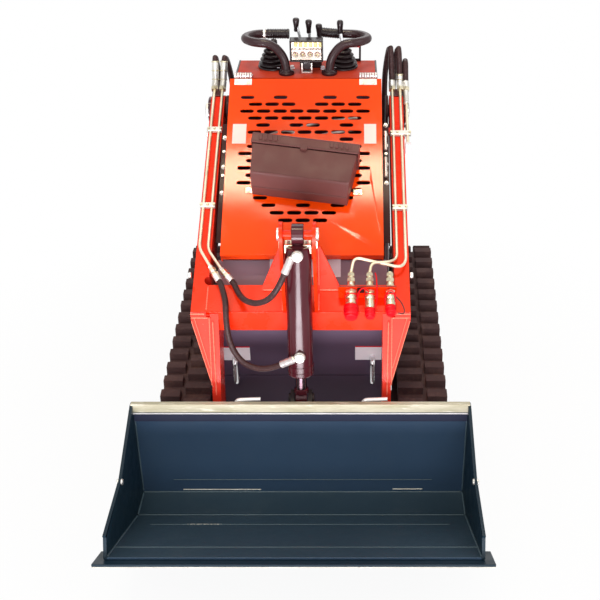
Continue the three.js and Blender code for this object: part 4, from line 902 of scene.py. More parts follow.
dressed("chassis_frame", UNDER, 1.5)
dressed("engine_block", FRAME_BLACK, 5.0)
dressed("rear_housing", PLUM_PAINTED_CAST, 2.5)
dressed("nose_panel", GREY, 1.0)
dressed("operator_deck", PLUM_PAINTED_CAST, 1.5)

PANEL_SEAM = 334


def front_panel():
    sheets = [
        block("panel_high", (-262, -256.8, PANEL_SEAM + 1.4), (262, -250.6, 590), PLUM_PAINTED_CAST, 1.4),
        block("panel_low", (-262, -256.4, 122), (262, -250.6, PANEL_SEAM - 1.4), PLUM_PAINTED_CAST, 1.4),
        block("panel_seam", (-261, -253.0, PANEL_SEAM - 4), (261, -250.8, PANEL_SEAM + 4), FRAME_BLACK, 0.4),
    ]
    ride(joined("front_panel_sheets", *sheets), "chassis", "front_panel")
    for side, s in SIDES:
        x = s * 218
        route = rounded_route([(x, -256.5, 322), (x, -284, 322), (x, -284, 408), (x, -256.5, 408)], 20, 8)
        bow = pipe(f"panel_handle_{side}", route, 8.0, CHROME, sides=24)
        # A small dark disc for the dimple on the handle's bend: painted shade.
        dimple = turned("handle_dimple_painted_shade", [(3.4, -0.4), (3.2, 1.0), (1.6, 1.2)], (x, -291.6, 398),
                        (0, -1, 0.25), KNOB, 16, 50)
        ride(joined(f"panel_handle_{side}", bow, dimple), "chassis")
        lower, upper = (394.5, 448) if s < 0 else (396, 450)
        left = -256 if s < 0 else 163
        label = block("label", (left, -257.3, lower), (left + 84, -256.5, upper - 4), LABEL, 0.3)
        stripe = block("label_stripe", (left, -257.4, upper - 4), (left + 84, -256.5, upper), LABEL_RED, 0.3)
        ride(joined(f"panel_label_{side}", label, stripe), "chassis")


front_panel()

# The nose panel leans back from its foot at z 592 to its top at z 713.
NOSE_LEAN = math.atan2(90, 121)
ride(block("nose_label", (-102, -256.8, 690), (118, -256.0, 690 + 74), LABEL, 0.4,
           axes=Matrix.Rotation(-NOSE_LEAN, 4, "X"), pivot=(0, -256, 592)), "chassis")


def deck_details():
    stud = turned("deck_stud", [(6.2, -0.3), (5.6, 1.2), (3.4, 2.6)], (0, 0, 0), (0, 0, 1), BARE, 10, 50)
    places = []
    for row in range(19):
        for column in range(11):
            x = -200 + 40 * column + (20 if row % 2 else 0)
            if abs(x) <= 205:
                places.append(Matrix.Translation(mm((x, 590 + 21 * row, 236))))
    ride(copies("deck_studs", stud, places), "chassis")
    remove(stud)
    ride(block("deck_nosing", (-234, 978, 236), (234, 999.5, 239), FRAME_BLACK, 1.2), "chassis")


deck_details()


def rear_details():
    """The operator's side of the rear housing: a knee pad, an inspection cover and its screws."""
    def flat(name, x0, x1, z0, z1, thick, material, bevel):
        return block(name, (x0, 555.6, z0), (x1, 556 + thick, z1), material, bevel)
    pad = flat("knee_pad", -180, 180, 640, 860, 22, GRIP, 10)
    ride(pad, "chassis")
    ride(flat("rear_cover", -160, 160, 330, 580, 3, FRAME_BLACK, 1.5), "chassis")
    screw = bolt("rear_screw", (0, 0, 0), (0, 0, 1), 13, SILVER)
    places = [stand((x, 559, z), (0, 1, 0)) for x in (-144, 144) for z in (346, 455, 564)]
    ride(copies("rear_screws", screw, places), "chassis")
    remove(screw)


rear_details()


def chassis_bolts():
    head = bolt("chassis_bolt", (0, 0, 0), (0, 0, 1), 17, SILVER)
    places = []
    for _, s in SIDES:
        places += [stand((s * 227, y, z), (s, 0, 0)) for y,
                   z in ((-225, 200), (-225, 420), (-225, 560), (290, 560), (290, 700))]
        places.append(stand((s * 285, LIFT_BASE[0], LIFT_BASE[1]), (s, 0, 0)))
    ride(copies("chassis_bolts", head, places), "chassis")
    remove(head)


chassis_bolts()


# ------------------------------------------------------------------ pivot towers

def tower(side, s):
    dressed(f"pivot_tower_{side}", UNDER, 1.5)
    tower_plate = block(f"tower_plate_{side}",
                        *zip(*(sorted(pair) for pair in ((s * 258, s * 277), (322, 329.4), (820, 880)))),
                        ORANGE, 1.2)
    ride(tower_plate, "chassis")
    y, z = ARM_PIVOT
    plate_piece = turned(f"pivot_plate_{side}", [(47.5, 0), (47.5, 7.5), (45.5, 9.5), (27, 9.8)],
                         (s * 328.4, y, z), (s, 0, 0), BLACK_RED_REFLECTION, 48)
    nut = turned(f"pivot_nut_{side}",
                 [(24.5, 0), (26, 1.5), (26, 11), (22, 14), (13, 14.2), (12, 15.6), (8, 16)],
                 (s * 336, y, z), (s, 0, 0), SILVER, 6, 20)
    ride(plate_piece, "chassis")
    ride(nut, "chassis")
    heads = bolt("tower_bolt", (0, 0, 0), (0, 0, 1), 17, SILVER)
    places = [stand((s * 277, row, high), (s, 0, 0)) for high in (470, 640) for row in (360, 490)]
    ride(copies(f"tower_bolts_{side}", heads, places), "chassis")
    remove(heads)
    # The bulkhead that the hoses reach: a nut on each one's passage.
    feet = [272, 316] if s < 0 else [270, 300, 334]
    nuts = [hexagon(f"bulkhead_nut_{side}_{i}", (s * x, 537, 828), (s * x, 537, 846.5), 25, ZINC)
            for i, x in enumerate(feet)]
    stubs = [ribbed(f"bulkhead_hose_{side}_{i}", (s * x, 537, 800), (s * x, 537, 829), 10.6, ZINC, 3)
             for i, x in enumerate(feet)]
    ride(joined(f"bulkhead_fittings_{side}", *nuts, *stubs), "chassis")


for side, s in SIDES:
    tower(side, s)


# ------------------------------------------------------------------ hood

def hood():
    dressed("hood", HOOD_ORANGE, 0.6, 2, slots=(Vector(on_normal(HOOD_SLOPE)), 5, 2.6))
    leaves = []
    for s in (-1, 1):
        x0, x1 = sorted((s * 177, s * 235))
        leaves.append(hood_block("hinge_leaf", x0, x1, 617, 640.5, 0.2, 2.6, SLEEVE, 0.8))
        for x in (x0 + 12, x1 - 12):
            screw = [(5, -0.2), (4.6, 1.4), (2.8, 2.4)]
            leaves.append(turned("hinge_screw", screw, on_hood(x, 624, 2.4), on_normal(HOOD_SLOPE), ZINC, 16))
    ride(joined("hood_hinges", *leaves), "hood")
    ride(hood_block("hood_label_l", -232, -188, 394, 467, 0.1, 0.9, HOOD_LABEL, 0.3), "hood")
    ride(hood_block("hood_label_r", 192, 231, 394, 467, 0.1, 0.9, HOOD_LABEL, 0.3), "hood")
    ride(weld("hood_lip_roll", on_hood(-249, 3, -2.6), on_hood(249, 3, -2.6), 2.6, HOOD_ORANGE, 500), "hood")


def hood_rails():
    """The chassis' flanges beside the hood, and what shows under the hood through its slots."""
    for side, s in SIDES:
        x0, x1 = sorted((s * 219, s * 274))
        rail = [hood_block("rail", x0, x1, 70, 505, -62.5, -58.5, UNDER, 1.2)]
        rail.append(hood_block("rail_turn", *sorted((s * 270, s * 274)), 70, 505, -84, -60, UNDER, 1.2))
        ride(joined(f"hood_rail_{side}", *rail), "chassis")
        places = (450, 397, 341, 308, 246) if s < 0 else (499, 461, 422, 389, 352, 318, 282)
        bits = []
        for i, u in enumerate(places):
            head = bolt("rail_bolt", on_hood(s * 264, u, -58.6), on_normal(HOOD_SLOPE), 12, SILVER,
                        washer=i % 2 == 0)
            bits.append(head)
        if s > 0:
            for u0, u1 in ((400, 470), (300, 372)):
                bits.append(ribbed("rail_line", on_hood(262, u0, -48), on_hood(262, u1, -48), 5.5, SILVER,
                                   6, 1.2))
        ride(joined(f"hood_rail_bolts_{side}", *bits), "chassis")
    stops = [
        [(-60, 380, -60), (-30, 470, -44), (60, 500, -40), (170, 520, -46)],
        [(-10, 430, -52), (60, 452, -40), (150, 470, -42), (205, 500, -60)],
        [(-120, 455, -48), (-60, 470, -46), (10, 440, -50)],
    ]
    # The lines and the canister are attached to nothing: an open fault.
    for i, route in enumerate(stops):
        line = pipe(f"bay_line_{i + 1}", smooth_route([on_hood(*p) for p in route], 20), 5.0, SILVER, 12)
        ride(line, "chassis")
    can = turned("bay_canister", [(48, 0), (52, 4), (52, 150), (46, 158), (20, 162)], (90, 150, 640),
                 (0, 0, 1), BLACK_RED_REFLECTION, 40, 40)
    ride(can, "chassis")


def on_normal(slope):
    return (0, -math.sin(slope), math.cos(slope))


def hood_block(name, x0, x1, u0, u1, n0, n1, material, bevel):
    """A flat piece lying on the hood."""
    low = (x0, HOOD_LOW[0] + u0, HOOD_LOW[1] + n0)
    high = (x1, HOOD_LOW[0] + u1, HOOD_LOW[1] + n1)
    return block(name, low, high, material, bevel, axes=HOOD_AXES, pivot=(0, HOOD_LOW[0], HOOD_LOW[1]))


hood()
hood_rails()


# ------------------------------------------------------------------ toolbox

BOX_SKEW = math.radians(-7.8)
BOX_LOW, BOX_HIGH, BOX_LID, BOX_DEEP, BOX_HALF = 189, 356, 39, 96, 168
BOX_FRAME = (
    Matrix.Translation(mm((0, HOOD_LOW[0], HOOD_LOW[1]))) @ HOOD_AXES
    @ Matrix.Translation(mm((0.5, (BOX_LOW + BOX_HIGH) / 2, 0.4))) @ Matrix.Rotation(BOX_SKEW, 4, "Z")
)
BOX_END = (BOX_HIGH - BOX_LOW) / 2
BOX_SPLIT = BOX_HIGH - BOX_LID - (BOX_LOW + BOX_HIGH) / 2


def box_block(name, x0, x1, u0, u1, n0, n1, material, bevel):
    """A piece in the toolbox's own frame: across, up the hood, off it."""
    obj = block(name, (x0, u0, n0), (x1, u1, n1), material, bevel)
    obj.matrix_world = BOX_FRAME
    return settle(obj, name, material)


def box_point(x, u, n):
    return BOX_FRAME @ mm((x, u, n)) / MM


def toolbox():
    dressed("toolbox", BOX, 5.0, 4)
    dressed("toolbox_lid", BOX, 3.4, 3)
    top = BOX_DEEP + 5
    ribs = []
    for start in (-BOX_HALF + 24, BOX_HALF - 90):
        ribs.append(box_block("lid_pad", start - 3, start + 65, BOX_SPLIT + 15, BOX_END - 6, top - 2,
                              top + 1.6, BOX, 1.2))
        for i in range(4):
            left = start + 16 * i
            ribs.append(box_block("lid_rib", left, left + 9, BOX_SPLIT + 11, BOX_END - 7, top, top + 5, BOX,
                                  1.6))
    edge = [box_point(x, BOX_SPLIT + 3, top - 0.6) for x in (-BOX_HALF + 3, BOX_HALF - 3)]
    ribs.append(pipe("lid_bead", edge, 2.4, BOX, 12))
    edge = [box_point(x, BOX_END - 6, top - 0.4) for x in (-BOX_HALF + 3, BOX_HALF - 3)]
    ribs.append(pipe("lid_back_bead", edge, 2.2, BOX, 12))
    ride(joined("toolbox_lid_ribs", *ribs), "toolbox_lid")
    beads = []
    for half, u, n, r in ((146, -BOX_END + 29, BOX_DEEP - 1.2, 2.0), (146, -BOX_END + 4, 44, 2.2)):
        beads.append(pipe("box_bead", [box_point(-half, u, n), box_point(half, u, n)], r, BOX, 12))
    for s in (-1, 1):
        rim = [box_point(s * 159, BOX_SPLIT - 3, BOX_DEEP - 2),
               box_point(s * 149.6, -BOX_END + 32, BOX_DEEP - 2)]
        beads.append(pipe("box_rim", rim, 2.2, BOX, 12))
    ride(joined("toolbox_beads", *beads), "hood")
    clasp = [
        box_block("clasp", -13, 9, BOX_SPLIT - 7, BOX_SPLIT + 9, BOX_DEEP - 2, top + 3.5, BOX, 2.2),
        box_block("clasp_lip", -9, 5, BOX_SPLIT - 9, BOX_SPLIT - 3, BOX_DEEP, top + 5.5, BOX, 1.6),
    ]
    ride(joined("toolbox_clasp", *clasp), "toolbox_lid")
    feet = []
    for x0, x1, u0, u1 in ((156, 184, 207, 226), (-181, -158, 214, 232)):
        feet.append(hood_block("box_foot", x0, x1, u0, u1, 0.1, 3.4, ZINC, 1.0))
        x = x1 - 9 if x0 > 0 else x0 + 9
        feet.append(bolt("box_foot_bolt", on_hood(x, (u0 + u1) / 2, 3.2), on_normal(HOOD_SLOPE), 13, SILVER,
                         washer=False))
    ride(joined("toolbox_feet", *feet), "hood")


toolbox()


# ------------------------------------------------------------------ lift arms and cross-member

SLOPE_UP = (0, math.cos(ARM_SLOPE), math.sin(ARM_SLOPE))
ARM_NORMAL = (0, -math.sin(ARM_SLOPE), math.cos(ARM_SLOPE))
LEG_DOWN = Vector((0, -444 - LEDGE[0], 381 - LEDGE[1])).normalized()
LEG_OUT = Vector((0, LEG_DOWN[2], -LEG_DOWN[1]))


def on_leg(x, t, out=0.0):
    """A point on a leg's front face: distance down from the ledge, height off it."""
    p = Vector((x, LEDGE[0], LEDGE[1])) + LEG_DOWN * t + LEG_OUT * out
    return tuple(p)


def lift_arm(side, s):
    arm = dressed(f"lift_arm_{side}", ORANGE, 2.2, 3)
    # The faces turned to the front take the lighter copy of the orange: painted light.
    arm.data.materials.append(LIT_LEG_ORANGE)     # the leg's front, after the photo's light on it
    for face in arm.data.polygons:
        if face.normal.y < -0.6:
            face.material_index = 1
    beads = [
        weld("w1", on_leg(s * 262, 30, 0.8), on_leg(s * 259, 262, 0.8), 2.4, WELD_ORANGE_HIGHLIGHT, 7),
        weld("w2", on_leg(s * 273, 14, 14.2), on_leg(s * 324, 14, 14.2), 2.2, WELD_ORANGE_HIGHLIGHT),
        weld("w3", on_leg(s * 272, 16, 1.0), on_leg(s * 272, 230, 1.0), 2.0, WELD_ORANGE_HIGHLIGHT),
        weld("w4", on_leg(s * 284, 2, 14.0), on_leg(s * 326, 2, 14.0), 2.4, WELD_ORANGE_HIGHLIGHT),
    ]
    # Bright lines along the gusset's outer edge and its crease: painted highlights.
    edge = pipe("gusset_edge_highlight", [on_leg(s * 325.2, 27, 1.0), on_leg(s * 268.4, 235, 1.0)],
                1.7, WELD_ORANGE_HIGHLIGHT, 12)
    inner = pipe("gusset_crease_highlight", [on_leg(s * 316, 20, 1.2), on_leg(s * 275, 176, 1.2)], 1.3, WELD_ORANGE_HIGHLIGHT, 12)
    ride(joined(f"arm_welds_and_highlights_{side}", *beads, edge, inner), "arms")
    tip = box_on_arm(f"arm_tip_{side}", *sorted((s * 297, s * 325)), 849, 880, -26, 1.5, BLACK_RED_REFLECTION, 2.0)
    ride(tip, "arms")
    # The bucket pin's collar and the arm's pivot boss.
    y, z = BUCKET_PIN
    collar = turned("collar", [(30, 0), (30, 3.6), (27.5, 5)], (s * 271, y, z), (s, 0, 0), ORANGE, 40)
    boss = turned("boss", [(40, 0), (40, 0.9), (38, 1.4)], (s * 327, ARM_PIVOT[0], ARM_PIVOT[1]), (s, 0, 0),
                  ORANGE, 40)
    ride(joined(f"arm_bosses_{side}", collar, boss), "arms")
    # The lift cylinder's upper pin shows its head on the arm's outer face.
    y, z = LIFT_EYE
    head = turned(f"lift_pin_head_{side}", [(20, -0.3), (20, 4), (18, 6), (9, 6.2), (8, 4.4)],
                  (s * 327, y, z - 6), (s, 0, 0), SILVER, 32)
    ride(head, "arms")
    # This disc stands clear of the arm, above its top edge: an open fault.
    stop = turned(f"arm_stop_{side}", [(9, -0.3), (9, 6), (7, 8), (3, 8.2)], (s * 327, -292, 735),
                  (s, 0, 0), SILVER, 24)
    ride(stop, "arms")


def cross_member():
    dressed("cross_member", ORANGE, 2.0, 3)
    low, high = -280, 280
    parts = [
        pipe("ledge_roll", [(x, LEDGE[0] + 1.8, LEDGE[1] - 1.6) for x in (low + 2, -53)], 3.0, ORANGE, 16),
        pipe("ledge_roll", [(x, LEDGE[0] + 1.8, LEDGE[1] - 1.6) for x in (53, high - 2)], 3.0, ORANGE, 16),
    ]
    for s in (-1, 1):
        parts.append(weld("ear_weld", along_arm(s * 53.5, 6, 1), along_arm(s * 53.5, 64, 1), 2.6,
                          WELD_ORANGE_HIGHLIGHT))
        parts.append(weld("web_weld", (s * 56, -292.6, 684), (s * 114, -292.6, 684), 2.4, WELD_ORANGE_HIGHLIGHT))
        parts.append(weld("web_edge", (s * 54, -292.4, 700), (s * 54, -292.4, 828), 2.0, WELD_ORANGE_HIGHLIGHT))
        parts.append(weld("arm_weld", along_arm(s * 281, 8, 0.6), along_arm(s * 281, 88, 0.6), 2.2,
                          WELD_ORANGE_HIGHLIGHT))
    ride(joined("cross_member_welds", *parts), "arms")
    heads = []
    for s in (-1, 1):
        heads.append(turned("tilt_pin_head", [(18.6, 0), (18.6, 6.4), (16.6, 7.6), (8, 7.8), (7, 6.2)],
                            (s * 51.8, TILT_TOP[0], TILT_TOP[1]), (s, 0, 0), SILVER, 32))
        heads.append(block("pin_keeper", (s * 52 - 3.4, TILT_TOP[0] - 5, TILT_TOP[1] - 44),
                           (s * 52 + 3.4, TILT_TOP[0] + 11, TILT_TOP[1] - 20), ZINC, 1.2))
    ride(joined("tilt_pin_heads", *heads), "arms")


def box_on_arm(name, x0, x1, s0, s1, n0, n1, material, bevel):
    """A piece lying along the slope of the arms: across, up from the ledge, off the top face."""
    low = (x0, LEDGE[0] + s0, LEDGE[1] + n0)
    high = (x1, LEDGE[0] + s1, LEDGE[1] + n1)
    return block(name, low, high, material, bevel, axes=ARM_AXES, pivot=(0, LEDGE[0], LEDGE[1]))


for side, s in SIDES:
    lift_arm(side, s)
cross_member()


# ------------------------------------------------------------------ oil lines

COUPLER_UP, COUPLER_REAR = 42, 112
# [x, body radius, cap radius, where the cap starts and ends along the slope]
COUPLERS = ((150, 17, 22, -4, -44), (205.5, 15, 16, -14, -44), (266, 15, 16, -4, -34))
LINE_ROUTES = {
    "l": [
        [on_arm(-290.5, 420, TUBE_UP), on_arm(-290.5, -166, TUBE_UP), along_arm(*LINE_INNER[0], END_UP)],
        [on_arm(-317.5, 420, TUBE_UP), on_arm(-317.5, -162, TUBE_UP), along_arm(*LINE_OUTER[0], END_UP)],
    ],
    "r": [
        [
            on_arm(290.5, 420, TUBE_UP), on_arm(290.5, -196, TUBE_UP), along_arm(262, 151, COUPLER_UP - 4),
            along_arm(212, 147, COUPLER_UP), along_arm(COUPLERS[1][0], COUPLER_REAR + 0.5, COUPLER_UP),
        ],
        [
            on_arm(317.5, 420, TUBE_UP), on_arm(317.5, -206, TUBE_UP), along_arm(298, 136, COUPLER_UP - 10),
            along_arm(159, 164, COUPLER_UP + 4), along_arm(COUPLERS[0][0], COUPLER_REAR + 0.5, COUPLER_UP),
        ],
        [on_arm(338, 420, 4), on_arm(338, 205, 4)],
    ],
}
CLAMPS = {"l": ((262, 328), (-15, 328)), "r": ((248, 349), (-22, 328))}


def oil_lines(side, s):
    parts = [pipe("line", rounded_route(route, 22, 7), TUBE_R, LINE_STEEL, 16) for route in LINE_ROUTES[side]]
    for y, outer in CLAMPS[side]:
        along = (y - LEDGE[0]) / math.cos(ARM_SLOPE)
        x0, x1 = sorted((s * 280, s * outer))
        parts.append(box_on_arm("clamp_foot", x0, x1, along - 9, along + 9, 0.6, 6.2, SILVER, 1.2))
        parts.append(box_on_arm("clamp_cap", x0, x1, along - 9, along + 9, 6.8, 12.6, SILVER, 2.2))
        xs = [(s * (TUBE_X[0] + TUBE_X[1]) / 2)] + [s * 283.5, s * (outer - 4)]
        for x in xs:
            parts.append(bolt("clamp_bolt", along_arm(x, along, 12.4), ARM_NORMAL, 9, ZINC, washer=False))
    for route in LINE_ROUTES[side]:
        top = Vector(route[0])
        up = Vector(SLOPE_UP)
        parts.append(hexagon("line_nut", top - up * 6, top + up * 8, 25, ZINC))
        parts.append(ribbed("line_crimp", top + up * 8, top + up * 34.4, 11.6, SILVER, 5))
    if side == "l":
        for line in (LINE_OUTER, LINE_INNER):
            start, end = (Vector(along_arm(*p, END_UP)) for p in line)
            at = partial(start.lerp, end)
            parts.append(ribbed("end_collar", at(-0.02), at(0.16), 7.6, SILVER, 2))
            parts.append(hexagon("end_nut", at(0.15), at(0.36), 21, ZINC))
            parts.append(rod("end_waist", at(0.34), at(0.47), 7.8, SILVER, 24))
            parts.append(hexagon("end_adaptor", at(0.45), at(0.62), 23, ZINC))
            parts.append(ribbed("end_crimp", at(0.6), at(1.0), 10.8, SILVER, 3))
    else:
        top, up = Vector(LINE_ROUTES["r"][2][0]), Vector(SLOPE_UP)
        parts.append(ribbed("long_crimp", top - up * 64, top - up * 6, 8.8, SILVER, 7))
        parts.append(block("line_stop", (329, 188, arm_top(200) - 20), (348, 214, arm_top(200) + 14), LABEL,
                           3))
    ride(joined(f"oil_lines_{side}_dressed", *parts), "arms", f"oil_lines_{side}")


for side, s in SIDES:
    oil_lines(side, s)


# ------------------------------------------------------------------ couplers and their caps

DOWN_SLOPE = (0, -SLOPE_UP[1], -SLOPE_UP[2])


def coupler(i, x, body, cap, cap_from, cap_to):
    def at(s, up=COUPLER_UP):
        return along_arm(x, s, up)
    reach = 40 - cap_from - 0.6
    parts = [
        rod("nipple", at(42), at(62), 9, ZINC, 24),
        hexagon("lock_nut", at(55.5), at(64), 29, ZINC),
        turned("rear_body", [(10, 0), (11, 1.5), (11, 8), (9, 10), (9, 17)], at(63), SLOPE_UP, ZINC, 28),
        hexagon("rear_adaptor", at(77), at(91), 25, ZINC),
        rod("rear_waist", at(90), at(97), 8.6, ZINC, 24),
        hexagon("rear_nut", at(96), at(108), 22, ZINC),
        turned("rear_collar", [(8.4, 0), (8.4, 3), (6.8, 4)], at(108), SLOPE_UP, ZINC, 24),
        hexagon("front_hex", at(48.5), at(40), body * 2.05, ZINC),
        turned("front_body", [
            (body - 3, 0), (body - 2, 2), (body - 2, 9), (body, 11), (body, 20), (body - 2.4, 22),
            (body - 2.4, 26),
            (body - 0.6, 28), (body - 0.6, reach - 6), (body - 2.4, reach - 4), (body - 2.4, reach),
        ], at(40), DOWN_SLOPE, ZINC, 32, 25),
    ]
    ride(joined(f"coupler_{i}_dressed", *parts), "arms", f"coupler_{i}")
    long = cap_from - cap_to
    profile = [
        (cap - 1.5, 0), (cap, 1.5), (cap, long * 0.3), (cap - 1.4, long * 0.34), (cap - 1.4, long * 0.4),
        (cap, long * 0.44), (cap, long * 0.68), (cap - 1.2, long * 0.75), (cap - 3.2, long * 0.78),
        (cap - 3.4, long - 2), (cap - 5.4, long),
    ]
    shell = turned(f"dust_cap_{i}_dressed", profile, at(cap_from), DOWN_SLOPE, CAP, 36, 30)
    ride(shell, "arms", f"dust_cap_{i}")
    round_body = [math.tau * k / 24 for k in range(25)]
    ring = [
        Vector(at(30)) + Vector((math.cos(a), 0,
                                 0)) * (body + 1.5) + Vector(ARM_NORMAL) * math.sin(a) * (body + 1.5)
        for a in round_body
    ]
    ride(pipe(f"cap_ring_{i}", ring, 1.6, CAP, 12), "arms")


def couplers():
    dressed("coupler_bracket", ORANGE, 1.0)
    edge = [
        pipe("bracket_edge", [along_arm(x, 52, 61.4) for x in (112.5, 283.5)], 1.9, FRAME_BLACK, 12),
        # A thin black sheet standing for the hole between the first two couplers: painted shade.
        box_on_arm("bracket_hole_painted_shade", 168, 189, 48.4, 48.9, 30, 60, FRAME_BLACK, 0.2),
    ]
    ride(joined("bracket_trim", *edge), "arms")
    for i, sizes in enumerate(COUPLERS, 1):
        coupler(i, *sizes)

    def strap(name, stops, radius=2.2, material=CAP):
        ride(pipe(name, smooth_route([along_arm(*stop) for stop in stops], 24), radius, material, 12), "arms")
    strap("cap_strap_1",
          [(166, -2, 46), (170, 22, 54), (176, 38, 62), (186, 44, 64), (196, 40, 62), (203, 34, 60)])
    strap("cap_strap_2", [(221, -12, 46), (226, 14, 48), (226, 50, 62), (225, 84, 60), (222, 104, 52)])
    strap("cap_strap_3",
          [(251, 0, 46), (250, 20, 48), (256, 34, 56), (266, 38, 60), (278, 32, 54), (281, 8, 46)])
    strap("cap_tether", [(280, 26, 50), (296, 10, 44), (306, -12, 36), (304, -22, 30), (288, -20, 30)], 1.6,
          HOSE_PAINTED_HIGHLIGHT)


couplers()


# ------------------------------------------------------------------ cylinders

def cylinder(at, size, rod_piece, rod_sink, length):
    """Barrel and rod of a cylinder between two pins; at(t) is a point on its axis."""
    across = (1, 0, 0)
    run = Vector(at(1)) - Vector(at(0))
    e, half, bore = size["eye"], size["eye_half"], size["bore"]
    r, start, end = size["barrel"], size["from"], size["to"]
    x = at(0)[0]
    eye = turned("eye", [
        (bore, -half), (e - 1.5, -half), (e, -half + 1.5), (e, half - 1.5), (e - 1.5, half), (bore, half),
        (bore, -half),
    ], (x, at(0)[1], at(0)[2]), across, BLACK_RED_REFLECTION, 40)
    neck = turned("neck",
                  [(e * 0.62, 0), (e * 0.62, start - 8), (r * 0.9, start + 2), (r * 0.9, start + 6)], at(0),
                  run, BLACK_RED_REFLECTION, 40)
    hole = size["rod"] + 0.9
    barrel = turned("barrel", [
        (r - 3, 0), (r, 3), (r, end - start - 30), (r + 1.6, end - start - 29), (r + 1.6, end - start - 14),
        (r + 0.4, end - start - 13), (r + 0.4, end - start - 11), (r + 1.6, end - start - 10),
        (r + 1.6, end - start + 1),
        (r - 0.5, end - start + 4), (hole + 4, end - start + 4), (hole + 3, end - start + 6.5),
        (hole, end - start + 6.5),
        (hole, end - start - 30),
    ], at(start), run, BLACK_RED_REFLECTION, 56, 30)
    weld_ring = [(r * 0.96, 0), (r * 1.05, 1.6), (r * 1.03, 3.6), (r * 0.95, 5)]
    ring = turned("ring", weld_ring, at(start - 1), run, BLACK_RED_REFLECTION, 40, 60)
    body_parts = [eye, neck, barrel, ring]
    rod_r = size["rod"]
    shaft = turned("shaft", [(rod_r - 1, 0), (rod_r, 1), (rod_r, length - rod_sink - size["rod_eye"] + 4)],
                   at(rod_sink), run, DARK_REFLECTION_ROD_CHROME, 40)
    re_, rh = size["rod_eye"], size["rod_eye_half"]
    rod_eye = turned("rod_eye", [(re_ - 1.5, -rh), (re_, -rh + 1.5), (re_, rh - 1.5), (re_ - 1.5, rh)],
                     (x, at(length)[1], at(length)[2]), across, BLACK_RED_REFLECTION, 40)
    collar = turned("rod_collar", [(rod_r + 1, 0), (rod_r + 5, 3), (rod_r + 5, 14), (rod_r + 3, 16)],
                    at(length - re_ - 12), run, BLACK_RED_REFLECTION, 32)
    ride(joined(rod_piece + "_dressed", shaft, rod_eye, collar), rod_piece, rod_piece)
    return body_parts


TILT_SIZE = {"eye": 30, "eye_half": 17, "bore": 13.5, "barrel": 37.5, "from": 34, "to": 436, "rod": 17,
             "rod_eye": 26, "rod_eye_half": 17}
LIFT_SIZE = {"eye": 26, "eye_half": 18, "bore": 13, "barrel": 22, "from": 24, "to": 560, "rod": 12,
             "rod_eye": 24, "rod_eye_half": 11}


def tilt_cylinder():
    parts = cylinder(partial(on_tilt, 0), TILT_SIZE, "tilt_rod", 72, math.dist(TILT_TOP, TILT_ROD))
    parts += [rod("port_boss", on_tilt(0, t, 30), on_tilt(0, t, 39.5), 13, BLACK_RED_REFLECTION, 32) for t in (BANJO_UPPER,
        BANJO_LOWER)]
    ride(joined("tilt_barrel_dressed", *parts), "tilt_barrel", "tilt_barrel")
    _, y, z = on_tilt(0, 38)
    blocks = []
    for s in (-1, 1):
        x0, x1 = sorted((s * 14, s * 38.4))
        blocks.append(block("port_block", (x0, y - 15.4, z - 14.4), (x1, y + 15.4, z + 14.4), ZINC, 2.5))
        blocks.append(bolt("port_screw", (s * 26, y, z + 14), (0, 0, 1), 11, SILVER, washer=False))
        blocks.append(turned("port_plug", [(6.5, 0), (6.5, 2.4), (5, 3.4)], (s * 28, y - 15, z + 2),
                             (0, -1, 0), SILVER, 18))
    ride(joined("tilt_port_blocks", *blocks), "tilt_barrel")
    for name, t in (("upper", BANJO_UPPER), ("lower", BANJO_LOWER)):
        out = Vector(on_tilt(0, t, 40)) - Vector(on_tilt(0, t, 30))
        eye = turned("banjo_eye", [(14.6, 0), (16.6, 1.6), (16.6, 9.4), (14.6, 11)], on_tilt(0, t, 38.5),
                     out, SILVER, 40)
        head = turned("banjo_bolt", [(13.6, 0), (14.4, 1), (14.4, 4.6), (12.6, 6.4), (6, 7.2)],
                      on_tilt(0, t, 49.5), out, SILVER, 36, 30)
        ride(joined(f"banjo_{name}", eye, head), "tilt_barrel")


tilt_cylinder()
for side, s in SIDES:
    parts = cylinder(partial(on_lift, s * 254), LIFT_SIZE, f"lift_rod_{side}", 60,
                     math.dist(LIFT_BASE, LIFT_EYE))
    ride(joined(f"lift_barrel_{side}_dressed", *parts), f"lift_barrel_{side}", f"lift_barrel_{side}")


# ------------------------------------------------------------------ hoses: each a real length between two fittings

def hose_piece(name, points, radius):
    obj = pipe(f"{name}_rubber", [tuple(p) for p in points], radius, HOSE_PAINTED_HIGHLIGHT, sides=16, sharp=60)
    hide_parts(name)
    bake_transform(obj)


# How far from each hose's lower end its long crimped fitting begins and ends.
ARM_CRIMPS = {"arm_hose_l1": (6, 72), "arm_hose_l2": (6, 72), "arm_hose_r2": (6, 44)}


